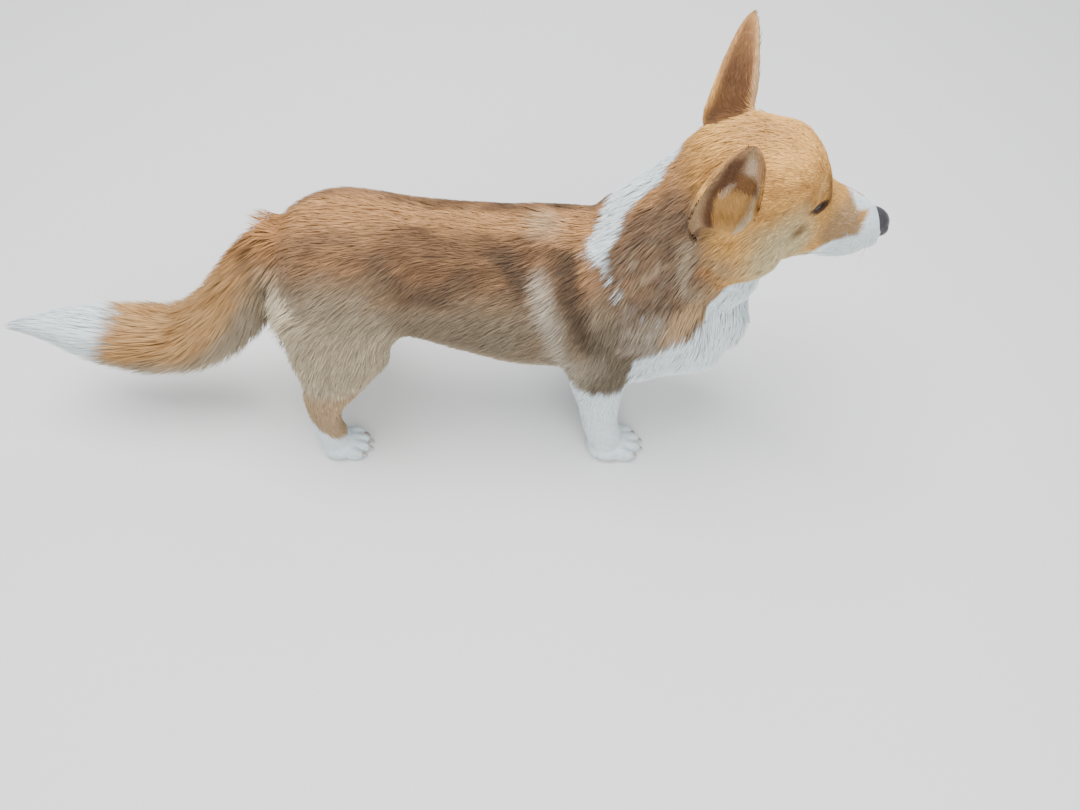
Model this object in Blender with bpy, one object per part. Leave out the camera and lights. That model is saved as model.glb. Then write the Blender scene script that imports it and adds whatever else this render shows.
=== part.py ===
"""A young Pembroke Welsh corgi, standing with its tail hanging, at life size.

The dog faces +X and stands on z = 0, and its left side is +Y. Sizes and places are given in
centimetres in the dog's own frame and turned into metres as each mesh is made.

The body is lofted from named stations, fused into one skin, smoothed, given its face and
toes, and then parted with thin cuts, so that each named part is a closed solid.
"""

import math
import random

import bmesh
import bpy
import numpy as np
from mathutils import Matrix, Vector
from mathutils.bvhtree import BVHTree

CM = 0.01

# Driving sizes, in centimetres. Heights are to the outside of the coat.
WITHERS = 28.4
CROUP = 30.0
BELLY = 14.9
CHEST_BOTTOM = 10.2
CHEST_HALF_WIDTH = 7.4
LOIN_HALF_WIDTH = 6.5
RUMP_X = -25.4
FORECHEST_X = 21.8
SKULL_TOP = 38.6
JAW_BOTTOM = 25.3
OCCIPUT_X = 13.2
NOSE_X = 32.2
PAW_Y = 7.6
FORE_PAW_X = 8.3
HIND_PAW_X = -22.5
FAR_FORE_STEP = -1.2
FAR_HIND_STEP = 0.5
TAIL_ROOT = Vector((-24.0, 0.0, 26.2))
TAIL_TIP = Vector((-58.2, 0.0, 13.0))
TAIL_THICKNESS = 8.2
EYE_CENTRE = Vector((23.2, 2.5, 33.1))
EYE_RADIUS = 0.98
LID_THICKNESS = 0.24
EYE_GAZE = Vector((0.66, 0.72, 0.20)).normalized()
EYE_OPENING = (0.86, 0.55)
# The ears' base, tip and the way that they open. The right one is turned out and the left one forward.
LEFT_EAR = (Vector((17.2, 5.6, 35.4)), Vector((17.6, 7.9, 44.6)), Vector((0.93, 0.30, -0.2)))
RIGHT_EAR = (Vector((14.8, -6.5, 35.0)), Vector((15.4, -7.4, 43.1)), Vector((0.14, -0.98, -0.1)))
EAR_HALF_WIDTH = 2.9
EAR_THICKNESS = 0.5
EAR_BELOW = 0.34
EAR_CUT = (15.5, 3.7, 38.4)
MOUTH_LINE = [(24.8, 26.9), (26.4, 26.55), (28.2, 26.5), (29.8, 26.55), (31.2, 26.8), (32.5, 27.2)]
NOSTRIL = (31.7, 0.68, 28.3)

# The long hair: how far the tips stand off its core, and each lock's length, width and thickness.
BRUSH_CORE = 0.56
BRUSH_LOCK = (6.6, 3.1, 0.7)
BRUSH_ROWS = 9
BRUSH_AROUND = 6
BREECH_DEPTH = 1.1
BREECH_LOCK = (4.4, 2.5, 0.6)
BIB_DEPTH = 1.0
BIB_LOCK = (4.8, 3.0, 0.65)
LOCK_ROOT = 0.75
SEED = 7

# How finely the skin is fused and kept, and how far parts stand from each other.
VOXEL = 0.0014
SKIN_TRIANGLES = 7300
DETAIL_SHARE = 0.5
FINENESS = {"face_share": 0.5, "ear_share": 0.2, "toe_share": 0.16, "skull_share": 0.12}
GAP = 0.03
SIDES = 28
EYE_FINENESS = 2
FAR = 80.0

COAT_TAN = (0.46, 0.22, 0.085)
COAT_WHITE = (0.80, 0.80, 0.78)
NOSE_BLACK = (0.018, 0.017, 0.02)
EYE_BROWN = (0.035, 0.014, 0.006)


def clear_scene():
    """Remove whatever the file opened with."""
    for obj in list(bpy.data.objects):
        bpy.data.objects.remove(obj, do_unlink=True)


def material(name, colour, roughness):
    """A plain finish for one kind of surface."""
    made = bpy.data.materials.new(name)
    made.use_nodes = True
    shader = made.node_tree.nodes["Principled BSDF"]
    shader.inputs["Base Color"].default_value = (*colour, 1.0)
    shader.inputs["Roughness"].default_value = roughness
    shader.inputs["Metallic"].default_value = 0.0
    return made


def mesh_object(name, points, faces):
    """A linked object from points in metres and faces."""
    mesh = bpy.data.meshes.new(name)
    mesh.from_pydata([tuple(p) for p in points], [], [tuple(f) for f in faces])
    mesh.update()
    obj = bpy.data.objects.new(name, mesh)
    bpy.context.scene.collection.objects.link(obj)
    return obj


def bake(obj):
    """Apply the object's modifiers to its mesh."""
    bpy.context.view_layer.update()
    graph = bpy.context.evaluated_depsgraph_get()
    made = bpy.data.meshes.new_from_object(obj.evaluated_get(graph))
    obj.modifiers.clear()
    obj.data = made
    return obj


def catmull(rows, steps):
    """Rows of numbers, with steps rows between each pair on a smooth curve through them."""
    rows = np.array(rows, float)
    ends = np.vstack([2 * rows[0] - rows[1], rows, 2 * rows[-1] - rows[-2]])
    made = []
    for i in range(1, len(ends) - 2):
        a, b, c, d = ends[i - 1 : i + 3]
        for t in np.arange(steps) / steps:
            made.append(
                b + 0.5 * ((c - a) * t + (2 * a - 5 * b + 4 * c - d) * t**2 + (3 * b - a - 3 * c + d) * t**3)
            )
    return np.array([*made, rows[-1]])


def section(centre, tangent, half_width, up, down, squareness):
    """One ring of a loft, across its path. Its width runs along Y as nearly as the path lets it."""
    side = Vector((0, 1, 0))
    side = (side - tangent * side.dot(tangent)).normalized()
    rise = tangent.cross(side)
    points = []
    for k in range(SIDES):
        angle = 2 * math.pi * k / SIDES
        c, s = math.cos(angle), math.sin(angle)
        across = math.copysign(abs(c) ** (2 / squareness), c) * half_width
        along = math.copysign(abs(s) ** (2 / squareness), s) * (up if s > 0 else down)
        points.append((centre + side * across + rise * along) * CM)
    return points


def loft(rows, steps=5, squareness=2.0, cap=0.6, ahead_of_all=None):
    """(points, faces) of a closed tube with round ends, through rows of x, y, z, half width, up and down.

    Up is the side that the path's turn from +Y gives: the back for a path along +X, the front
    for one that goes down.
    """
    rows = catmull(rows, steps)
    centres = [Vector(r[:3]) for r in rows]
    sections = []
    for i, row in enumerate(rows):
        ahead, behind = centres[min(i + 1, len(rows) - 1)], centres[max(i - 1, 0)]
        tangent = ahead_of_all or (ahead - behind).normalized()
        sections.append((centres[i], tangent, np.maximum(row[3:6], 0.05)))
    start_cap, end_cap = [], []
    for turn in (25, 50, 75):
        shrink, push = math.cos(math.radians(turn)), math.sin(math.radians(turn)) * cap
        for end, sign, caps in ((sections[0], -1, start_cap), (sections[-1], 1, end_cap)):
            centre, tangent, sizes = end
            caps.append((centre + tangent * (sign * push * min(sizes)), tangent, sizes * shrink))
    sections = start_cap[::-1] + sections + end_cap
    points, faces = [], []
    for centre, tangent, sizes in sections:
        points += section(centre, tangent, *sizes, squareness)
    for i in range(len(sections) - 1):
        for k in range(SIDES):
            here, there, after = i * SIDES, (i + 1) * SIDES, (k + 1) % SIDES
            faces.append((here + k, here + after, there + after, there + k))
    faces.append(tuple(reversed(range(SIDES))))
    faces.append(tuple((len(sections) - 1) * SIDES + k for k in range(SIDES)))
    return points, faces


def mass(centre, radii, turn_y=0.0, turn_z=0.0, fineness=3):
    """(points, faces) of an ellipsoid, for a muscle, a cheek or a toe. Turns are in degrees."""
    work = bmesh.new()
    spin = Matrix.Rotation(math.radians(turn_z), 4, "Z") @ Matrix.Rotation(math.radians(turn_y), 4, "Y")
    size = Matrix.Diagonal((*[r * CM for r in radii], 1))
    place = Matrix.Translation(Vector(centre) * CM) @ spin @ size
    bmesh.ops.create_icosphere(work, subdivisions=fineness, radius=1.0, matrix=place)
    points = [v.co.copy() for v in work.verts]
    faces = [tuple(v.index for v in f.verts) for f in work.faces]
    work.free()
    return points, faces


def mirrored(shape):
    """The same shape on the dog's other side."""
    points, faces = shape
    return [Vector((p[0], -p[1], p[2])) for p in points], [tuple(reversed(f)) for f in faces]


def upright(x, bottom, top, half_width):
    """A loft row for a section that stands across X, from its lowest and highest point."""
    half = (top - bottom) / 2
    return (x, 0, bottom + half, half_width, half, half)


def trunk():
    """Rump, loin, chest and forechest."""
    return loft([
        upright(RUMP_X + 0.6, 20.2, CROUP - 2.6, 4.0),
        upright(RUMP_X + 3.0, 17.6, CROUP - 0.3, 6.0),
        upright(-18.6, 15.8, CROUP + 0.5, LOIN_HALF_WIDTH + 0.4),
        upright(-12.5, BELLY, CROUP - 0.4, LOIN_HALF_WIDTH),
        upright(-6.5, BELLY - 2.6, WITHERS + 0.6, LOIN_HALF_WIDTH + 0.4),
        upright(-0.5, CHEST_BOTTOM, WITHERS + 0.2, CHEST_HALF_WIDTH),
        upright(6.0, CHEST_BOTTOM, WITHERS, CHEST_HALF_WIDTH),
        upright(12.0, CHEST_BOTTOM - 1.7 + BIB_DEPTH, WITHERS + 0.4, CHEST_HALF_WIDTH),
        upright(16.4, CHEST_BOTTOM - 1.0 + BIB_DEPTH, 27.2, 6.9 - BIB_DEPTH / 2),
        upright(FORECHEST_X - 1.2 - BIB_DEPTH, 13.0 + BIB_DEPTH, 25.0, 4.7),
    ])


def neck():
    """The thick neck with its ruff, from the shoulders to the back of the skull."""
    return loft([
        (5.5, 0, 19.8, 6.4, 6.6, 6.6),
        (10.3, 0, 23.6, 6.7, 7.3, 8.2),
        (14.4, 0, 28.2, 6.3, 7.2, 7.6),
        (16.6, 0, 32.2, 5.9, 6.0, 6.4),
    ])


def throat():
    """The full front of the neck, between the jaw and the forechest."""
    return mass((18.0, 0, 23.2), (3.7, 4.9, 4.6), turn_y=-12)


def skull_and_muzzle():
    """The head from the occiput to the nose, wedge-shaped like a fox's."""
    return loft([
        upright(OCCIPUT_X, 29.2, SKULL_TOP - 1.5, 3.9),
        upright(15.2, 26.8, SKULL_TOP - 0.3, 5.5),
        upright(18.2, JAW_BOTTOM + 0.4, SKULL_TOP + 0.2, 6.0),
        upright(20.6, JAW_BOTTOM + 0.1, SKULL_TOP, 5.4),
        upright(22.3, JAW_BOTTOM, SKULL_TOP - 0.35, 4.6),
        upright(23.6, JAW_BOTTOM, SKULL_TOP - 1.45, 3.85),
        upright(24.7, JAW_BOTTOM, SKULL_TOP - 3.0, 3.3),
        upright(25.4, JAW_BOTTOM, SKULL_TOP - 4.9, 2.95),
        upright(26.4, JAW_BOTTOM, SKULL_TOP - 6.0, 2.7),
        upright(28.2, JAW_BOTTOM + 0.1, SKULL_TOP - 7.0, 2.4),
        upright(29.6, JAW_BOTTOM + 0.4, SKULL_TOP - 7.8, 2.15),
        upright(30.5, JAW_BOTTOM + 0.8, SKULL_TOP - 8.55, 1.9),
        upright(31.0, JAW_BOTTOM + 1.3, SKULL_TOP - 9.1, 1.6),
    ], squareness=2.25, cap=0.35, ahead_of_all=Vector((1, 0, 0)))


def face_masses():
    """One side's cheek, brow, lid, lip and chin."""
    return [
        mass((17.6, 4.1, 29.6), (4.3, 2.7, 4.3), turn_y=15),
        mass((20.6, 2.7, 29.4), (3.6, 2.0, 2.6), turn_y=10),
        mass((23.8, 1.7, 29.2), (3.4, 1.8, 2.4), turn_y=8),
        mass((20.9, 2.1, 35.5), (2.6, 1.8, 1.5), turn_y=28),
        mass((23.0, 2.1, 34.1), (1.3, 1.2, 0.7), turn_y=35),
        mass(EYE_CENTRE, [EYE_RADIUS + LID_THICKNESS] * 3),
        mass((27.3, 1.15, 27.8), (3.5, 1.5, 1.75), turn_y=4),
        mass((29.9, 0.85, 27.4), (1.5, 1.15, 1.3)),
        mass((27.4, 0.6, 26.0), (3.1, 1.2, 1.0)),
    ]


def nose_pad():
    """The leather of the nose, at the front of the muzzle."""
    return mass((NOSE_X - 1.25, 0, 28.45), (1.25, 1.45, 1.18), turn_y=14)


def ear_axes(ear_places):
    """The ear's own directions, to its tip, out of its opening and across it, and its length."""
    base, tip, opens = ear_places
    axis = (tip - base).normalized()
    opens = (opens - axis * opens.dot(axis)).normalized()
    return axis, opens, axis.cross(opens), (tip - base).length


def ear(ear_places):
    """An ear: a cupped leaf on the side of the skull."""
    axis, opens, across, length = ear_axes(ear_places)
    rows, columns = 16, 18
    layers = []
    for inner in (0.0, EAR_THICKNESS):
        grid = []
        for i in range(rows + 1):
            s = -EAR_BELOW + (1 + EAR_BELOW) * i / rows
            up, down = max(s, 0.0), max(-s, 0.0) / EAR_BELOW
            half = EAR_HALF_WIDTH * (1 - up**1.6) ** 0.62 * (1 - 0.5 * down**2) + 0.12
            depth = half * (0.85 - 0.30 * up)
            half, depth = max(half - inner * 0.55, 0.06), max(depth - inner, 0.02)
            rise = min(s * length, length - 0.35 * inner)
            for j in range(columns + 1):
                turn = math.pi * (j / columns - 0.5) * 1.06
                place = axis * rise + across * (half * math.sin(turn)) - opens * (depth * math.cos(turn))
                grid.append((ear_places[0] + place) * CM)
        layers.append(grid)
    return shell(layers, rows, columns)


def ear_hollow(ear_places):
    """What the ear's cup takes out of the side of the skull."""
    axis, opens, across, length = ear_axes(ear_places)
    points, faces = mass((0, 0, 0), (0.74 * EAR_HALF_WIDTH, 0.60 * EAR_HALF_WIDTH, 0.46 * length))
    frame = Matrix((across, opens, axis)).transposed()
    centre = (ear_places[0] + axis * 0.14 * length) * CM
    return [frame @ p + centre for p in points], faces


def shell(layers, rows, columns):
    """(points, faces) of a closed leaf between an outer and an inner grid of points."""
    wide = columns + 1
    count = wide * (rows + 1)
    faces = []
    for i in range(rows):
        for j in range(columns):
            a, b = i * wide + j, i * wide + j + 1
            faces.append((a, b, b + wide, a + wide))
            faces.append((count + a + wide, count + b + wide, count + b, count + a))
    border = [j for j in range(columns)]
    border += [i * wide + columns for i in range(rows)]
    border += [rows * wide + j for j in range(columns, 0, -1)]
    border += [i * wide for i in range(rows, 0, -1)]
    for here, after in zip(border, border[1:] + border[:1]):
        faces.append((after, here, count + here, count + after))
    return layers[0] + layers[1], faces


def foreleg(step):
    """The left foreleg, from the shoulder to the pastern. Step moves its paw along X."""
    paw = FORE_PAW_X + step
    return [
        mass((5.2, 4.3, 18.6), (5.0, 3.7, 7.2), turn_y=-18),
        mass((10.4, 4.2, 14.0), (4.4, 2.7, 3.8), turn_y=-20),
        loft([
            (5.8 + step * 0.2, 4.8, 17.5, 3.4, 4.0, 4.0),
            (5.9 + step * 0.4, 5.9, 12.8, 2.8, 3.4, 3.2),
            (6.3 + step * 0.7, 6.8, 8.8, 2.25, 2.5, 2.4),
            (6.6 + step, 7.3, 5.4, 2.0, 2.1, 2.1),
            (paw - 1.0, PAW_Y, 2.6, 1.95, 2.1, 2.0),
        ]),
        *paw_masses(paw, 1.1),
    ]


def hindleg(step):
    """The left hind leg, from the haunch to the pastern. Step moves its paw along X."""
    paw = HIND_PAW_X + step
    return [
        mass((-18.4, 3.9, 21.0), (6.2, 3.8, 6.5), turn_y=25),
        mass((-20.2, 4.9, 16.9), (5.2 - BREECH_DEPTH / 2, 3.4, 6.2), turn_y=-14),
        loft([
            (-19.8, 5.0, 20.5, 3.1, 5.8, 5.8 - BREECH_DEPTH),
            (-20.3 + step * 0.2, 5.9, 16.6, 2.9, 5.0, 5.2 - BREECH_DEPTH),
            (-21.6 + step * 0.5, 6.8, 12.6, 2.4, 3.4, 3.7 - BREECH_DEPTH / 2),
            (-23.0 + step * 0.8, 7.3, 9.6, 1.95, 2.4, 2.3),
            (-23.6 + step, PAW_Y, 6.0, 1.7, 1.8, 1.8),
            (paw - 0.9, PAW_Y, 2.6, 1.8, 1.9, 1.9),
        ]),
        *paw_masses(paw, 1.0),
    ]


def paw_masses(x, size):
    """The pad and the four toes of a left paw, resting on the floor."""
    made = [mass((x - 0.5 * size, PAW_Y, 1.15), (2.3 * size, 2.05 * size, 1.5))]
    for across, reach in ((-1.35, 1.35), (-0.48, 2.0), (0.48, 2.0), (1.35, 1.35)):
        y = PAW_Y + across * size
        toe = (x + (reach - 0.5) * size, y, 1.05)
        made.append(mass(toe, (1.35 * size, 0.62 * size, 1.12), turn_z=across * 6))
    return made


def tail_rows():
    """The full, hanging tail from its root to its tip, out to the ends of its brush."""
    half = TAIL_THICKNESS / 2
    return [
        (TAIL_ROOT.x, 0, TAIL_ROOT.z, half * 0.76, half * 0.78, half * 0.80),
        (-27.8, 0, 22.6, half * 0.88, half * 0.80, half * 1.06),
        (-31.4, 0, 18.2, half * 0.98, half * 0.82, half * 1.20),
        (-34.8, 0, 14.4, half * 1.05, half * 0.86, half * 1.22),
        (-38.2, 0, 11.8, half * 1.10, half * 0.90, half * 1.20),
        (-41.5, 0, 11.1, half * 1.10, half * 0.95, half * 1.16),
        (-45.0, 0, 11.3, half * 1.05, half * 0.95, half * 1.10),
        (-48.6, 0, 12.0, half * 0.90, half * 0.86, half * 0.94),
        (-51.8, 0, 12.8, half * 0.62, half * 0.60, half * 0.64),
        (-55.0, 0, 13.3, 1.3, 1.3, 1.3),
        (TAIL_TIP.x, 0, TAIL_TIP.z, 0.25, 0.25, 0.25),
    ]


def tail():
    """The tail's core, under the brush."""
    rows = [(*row[:3], *[BRUSH_CORE * size for size in row[3:]]) for row in tail_rows()[:-1]]
    return loft([(x, y, z, w, down, up) for x, y, z, w, up, down in rows], cap=0.5)


def both(shapes):
    """The shapes and their mirror images."""
    return [*shapes, *[mirrored(s) for s in shapes]]


def fused(shapes):
    """One object whose surface is the outside of all the shapes together."""
    points, faces = [], []
    for shape_points, shape_faces in shapes:
        start = len(points)
        points += shape_points
        faces += [tuple(start + i for i in f) for f in shape_faces]
    obj = mesh_object("skin", points, faces)
    remesh = obj.modifiers.new("Fuse", "REMESH")
    remesh.mode = "VOXEL"
    remesh.voxel_size = VOXEL
    return bake(obj)


def coordinates(obj):
    """The object's points, in centimetres."""
    flat = np.empty(len(obj.data.vertices) * 3, np.float32)
    obj.data.vertices.foreach_get("co", flat)
    return flat.reshape(-1, 3).astype(float) / CM


def set_coordinates(obj, points):
    """Move the object's points to these places, in centimetres."""
    obj.data.vertices.foreach_set("co", (points * CM).astype(np.float32).ravel())
    obj.data.update()


def step_up(values, low, high):
    """0 below low and 1 above high, with a smooth rise between."""
    t = np.clip((values - low) / (high - low), 0, 1)
    return t * t * (3 - 2 * t)


def weigh(obj, name, weights):
    """A vertex group with these weights, in tenths."""
    group = obj.vertex_groups.new(name=name)
    tenths = np.round(weights * 10).astype(int)
    for tenth in range(1, 11):
        group.add(np.flatnonzero(tenths == tenth).tolist(), tenth / 10, "REPLACE")


def detail(points, face_share=1.0, ear_share=1.0, toe_share=1.0, skull_share=0.75):
    """1 on the face, the ears and the toes, which keep their forms, and 0 on the body."""
    x, y, z = points.T
    skull = step_up(x, 18.0, 21.0) * step_up(z, 24.0, 26.0)
    muzzle = step_up(x, 25.2, 27.0)
    to_eye = np.linalg.norm(np.stack([x, np.abs(y), z], -1) - np.array(EYE_CENTRE), axis=1)
    lids = 1 - step_up(to_eye, 1.3, 2.3)
    above, beside = step_up(z, SKULL_TOP - 1.0, SKULL_TOP + 0.6), step_up(np.abs(y), 6.2, 7.0)
    ears = np.maximum(above, beside * step_up(z, 31.5, 33.0))
    toes = 1 - step_up(z, 1.6, 3.4)
    face = np.maximum(muzzle, lids)
    shares = [face * face_share, ears * ear_share, toes * toe_share, skull * skull_share]
    return np.maximum.reduce(shares)


def relax(obj):
    """Round the creases where the shapes meet, most on the body and least on the face and toes."""
    weigh(obj, "Body", 1 - detail(coordinates(obj)))
    for name, turns, group in (("Soften body", 260, "Body"), ("Soften all", 4, "")):
        smooth = obj.modifiers.new(name, "SMOOTH")
        smooth.factor = 0.5
        smooth.iterations = turns
        smooth.vertex_group = group
    bake(obj)
    obj.vertex_groups.clear()


def normals(obj):
    """The direction that each point's surface faces."""
    flat = np.empty(len(obj.data.vertices) * 3, np.float32)
    obj.data.vertex_normals.foreach_get("vector", flat)
    return flat.reshape(-1, 3).astype(float)


def near_line(points, line):
    """How far each row of points is from a line of points."""
    best = np.full(len(points), 1e9)
    for a, b in zip(line[:-1], line[1:]):
        a, b = np.array(a), np.array(b)
        along = np.clip((points - a) @ (b - a) / ((b - a) @ (b - a)), 0, 1)
        best = np.minimum(best, np.linalg.norm(points - a - along[:, None] * (b - a), axis=1))
    return best


def carve_face(obj):
    """Press in the line of the mouth, the nostrils, the groove under the nose and the furrow of the brow."""
    points, facing = coordinates(obj), normals(obj)
    x, y, z = points.T
    side = points[:, [0, 2]]
    mouth = np.exp(-((near_line(side, MOUTH_LINE) / 0.15) ** 2)) * step_up(x, 24.3, 25.2)
    groove = np.exp(-((y / 0.10) ** 2)) * step_up(x, 30.4, 31.0) * step_up(z, 26.3, 26.7)
    groove *= 1 - step_up(z, 27.8, 28.3)
    furrow = np.exp(-((y / 0.9) ** 2)) * step_up(x, 19.5, 22.4) * (1 - step_up(x, 24.0, 25.5))
    furrow *= step_up(z, 33.0, 34.5)
    away = np.linalg.norm((np.abs(points) - NOSTRIL) * [1.0, 1.0, 1.15], axis=1)
    slit = near_line(np.abs(points), [NOSTRIL, (31.0, 1.35, 28.05)])
    nostril = np.exp(-((away / 0.32) ** 2)) * 0.50 + np.exp(-((slit / 0.14) ** 2)) * 0.20
    press = mouth * 0.26 + groove * 0.14 + furrow * 0.20 + nostril
    set_coordinates(obj, points - facing * press[:, None])


def thin_out(obj):
    """Keep fewer triangles, more of them on the face and the paws."""
    tris = sum(len(p.vertices) - 2 for p in obj.data.polygons)
    weigh(obj, "Coarse", 1 - 0.9 * detail(coordinates(obj), **FINENESS))
    reduce = obj.modifiers.new("Thin out", "DECIMATE")
    reduce.ratio = SKIN_TRIANGLES / tris
    reduce.vertex_group = "Coarse"
    reduce.vertex_group_factor = DETAIL_SHARE
    reduce.use_collapse_triangulate = True
    bake(obj)
    obj.vertex_groups.clear()


def prism(corners, low_y=-FAR, high_y=FAR):
    """(points, faces) of a convex outline in X and Z, given anticlockwise from -Y, drawn out along Y."""
    count = len(corners)
    points = [Vector((x, y, z)) * CM for y in (low_y, high_y) for x, z in corners]
    faces = [tuple(range(count)), tuple(reversed(range(count, 2 * count)))]
    faces += [(i, count + i, count + (i + 1) % count, (i + 1) % count) for i in range(count)]
    return points, faces


def beyond(place, direction, reach=FAR, spread=FAR):
    """(points, faces) of a block with one face through place, that fills what lies on in direction."""
    work = bmesh.new()
    turn = Vector(direction).to_track_quat("Z", "Y").to_matrix().to_4x4()
    size = Matrix.Diagonal((2 * spread * CM, 2 * spread * CM, reach * CM, 1))
    lift = Matrix.Translation((0, 0, reach * CM / 2))
    bmesh.ops.create_cube(work, size=1.0, matrix=Matrix.Translation(Vector(place) * CM) @ turn @ lift @ size)
    points = [v.co.copy() for v in work.verts]
    faces = [tuple(v.index for v in f.verts) for f in work.faces]
    work.free()
    return points, faces


def grown(shape, by):
    """The shape with its faces pushed out by a distance in centimetres."""
    obj = closed(mesh_object("grown", *shape))
    work = bmesh.new()
    work.from_mesh(obj.data)
    moved = {v: v.co + v.normal * v.calc_shell_factor() * by * CM for v in work.verts}
    points = [moved[v] for v in work.verts]
    faces = [tuple(v.index for v in f.verts) for f in work.faces]
    work.free()
    bpy.data.objects.remove(obj, do_unlink=True)
    return points, faces


def closed(obj):
    """The object with all its faces turned outwards."""
    work = bmesh.new()
    work.from_mesh(obj.data)
    bmesh.ops.recalc_face_normals(work, faces=work.faces)
    work.to_mesh(obj.data)
    work.free()
    return obj


def is_closed(mesh):
    """Whether the mesh has faces, and two of them at each of its edges."""
    work = bmesh.new()
    work.from_mesh(mesh)
    whole = len(work.faces) > 0 and all(e.is_manifold for e in work.edges)
    work.free()
    return whole


def combine(obj, shapes, operation):
    """Cut the shapes from the object, keep what they share, or join them to it."""
    for points, faces in shapes:
        tool = closed(mesh_object("tool", points, faces))
        tool.hide_render = True
        tool.display_type = "WIRE"
        before = obj.data
        for solver in ("EXACT", "MANIFOLD"):
            step = obj.modifiers.new(operation.title(), "BOOLEAN")
            step.operation = operation
            step.solver = solver
            step.object = tool
            bake(obj)
            if is_closed(obj.data):
                break
            if solver == "EXACT":
                obj.data = before
        bpy.data.objects.remove(tool, do_unlink=True)
    return obj


def lock(root, bend, tip, flat, width, thickness):
    """(points, faces) of one flat, tapered lock of hair from its sunk root, round a bend, to its tip."""
    points, faces = [], []
    across = (tip - root).cross(flat).normalized()
    for t, share in ((0.0, 0.8), (0.35, 1.0), (0.7, 0.72)):
        centre = root.lerp(bend, t).lerp(bend.lerp(tip, t), t)
        side, rise = across * (share * width / 2), flat * (share * thickness / 2)
        points += [(centre + side - rise) * CM, (centre + rise) * CM, (centre - side - rise) * CM]
    points.append(tip * CM)
    for start in (0, 3):
        for k in range(3):
            here, after = start + k, start + (k + 1) % 3
            faces.append((here, after, after + 3, here + 3))
    faces += [(6 + k, 6 + (k + 1) % 3, 9) for k in range(3)]
    faces.append((2, 1, 0))
    return points, faces


def brush_locks(draw):
    """The locks round the tail, row behind row, whose tips make its outline."""
    length, width, thickness = BRUSH_LOCK
    rows = catmull(tail_rows(), 12)
    along = np.concatenate([[0], np.cumsum(np.linalg.norm(np.diff(rows[:, :3], axis=0), axis=1))])
    made = []
    for i in range(BRUSH_ROWS):
        start = 0.6 + (along[-1] - length - 1.0) * i / (BRUSH_ROWS - 1)
        for k in range(BRUSH_AROUND):
            turn = 2 * math.pi * (k + 0.5 * (i % 2) + draw.uniform(-0.12, 0.12)) / BRUSH_AROUND
            reach = length * draw.uniform(0.9, 1.1)
            spots = []
            for place in (start, start + 0.45 * reach, min(start + reach, along[-1] - 0.05)):
                row = [np.interp(place, along, rows[:, c]) for c in range(6)]
                nearby = [np.interp(place + 0.3, along, rows[:, c]) for c in range(3)]
                tangent = (Vector(nearby) - Vector(row[:3])).normalized()
                rise = Vector((0, 1, 0)).cross(tangent)
                out = Vector((0, 1, 0)) * (math.cos(turn) * row[3])
                out += rise * (math.sin(turn) * (row[4] if math.sin(turn) > 0 else row[5]))
                spots.append((Vector(row[:3]), out))
            (centre, out), (middle, swell), (end, tip_out) = spots
            root = centre + out * BRUSH_CORE - out.normalized() * LOCK_ROOT
            bend = middle + swell * (BRUSH_CORE + 0.34)
            made.append(lock(root, bend, end + tip_out, out.normalized(), width, thickness))
    return made


def laid_locks(surface, spots, sizes, lie, draw):
    """Locks rooted where a line from each spot meets the surface, that lie one way and lift at the tip.

    A spot is a place outside the dog, the direction to look in, and how far the tip stands off.
    """
    length, width, thickness = sizes
    made = []
    for place, look, lift in spots:
        spot, facing, _, _ = surface.ray_cast(Vector(place) * CM, Vector(look).normalized())
        if spot is None:
            continue
        spot = spot / CM
        along = Vector(lie) + Vector([draw.uniform(-0.12, 0.12) for _ in range(3)])
        along = (along - facing * along.dot(facing)).normalized()
        reach = length * draw.uniform(0.88, 1.12)
        root = spot - facing * LOCK_ROOT - along * 0.5
        bend = spot + facing * (lift * 0.75) + along * (reach * 0.4)
        tip = spot + facing * lift + Vector(lie).normalized().lerp(along, 0.6) * reach
        made.append(lock(root, bend, tip, facing, width, thickness))
    return made


def grid(columns, rows, place):
    """place(column, row, shift) at each spot of a grid whose every other row is shifted by half a step."""
    return [place(c, r, 0.5 * (r % 2)) for r in range(rows) for c in range(columns)]


def breech_spots(sign):
    """Where the feathering grows, down the back of a thigh."""
    def place(column, row, shift):
        y = (3.3 + 1.5 * (column + shift)) * sign
        return (-34.0, y, 23.4 - 2.1 * row), (1, 0, 0.05), BREECH_DEPTH * 0.8
    return grid(3, 6, place)


def bib_spots():
    """Where the long hair of the chest grows."""
    def place(column, row, shift):
        y = 2.3 * (column - 2.25 + shift)
        return (34.0, y, 22.6 - 2.3 * row), (-1, -0.12 * y, -0.12), BIB_DEPTH * 0.8
    return grid(5, 4, place)


def brisket_spots(sign):
    """Where the hair hangs below the breast, in front of a foreleg."""
    def place(column, row, shift):
        return (16.6 - 2.4 * (column + shift), 2.4 * (row + 0.5) * sign, 2.0), (0.1, 0, 1), BIB_DEPTH * 0.5
    return grid(2, 2, place)


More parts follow.
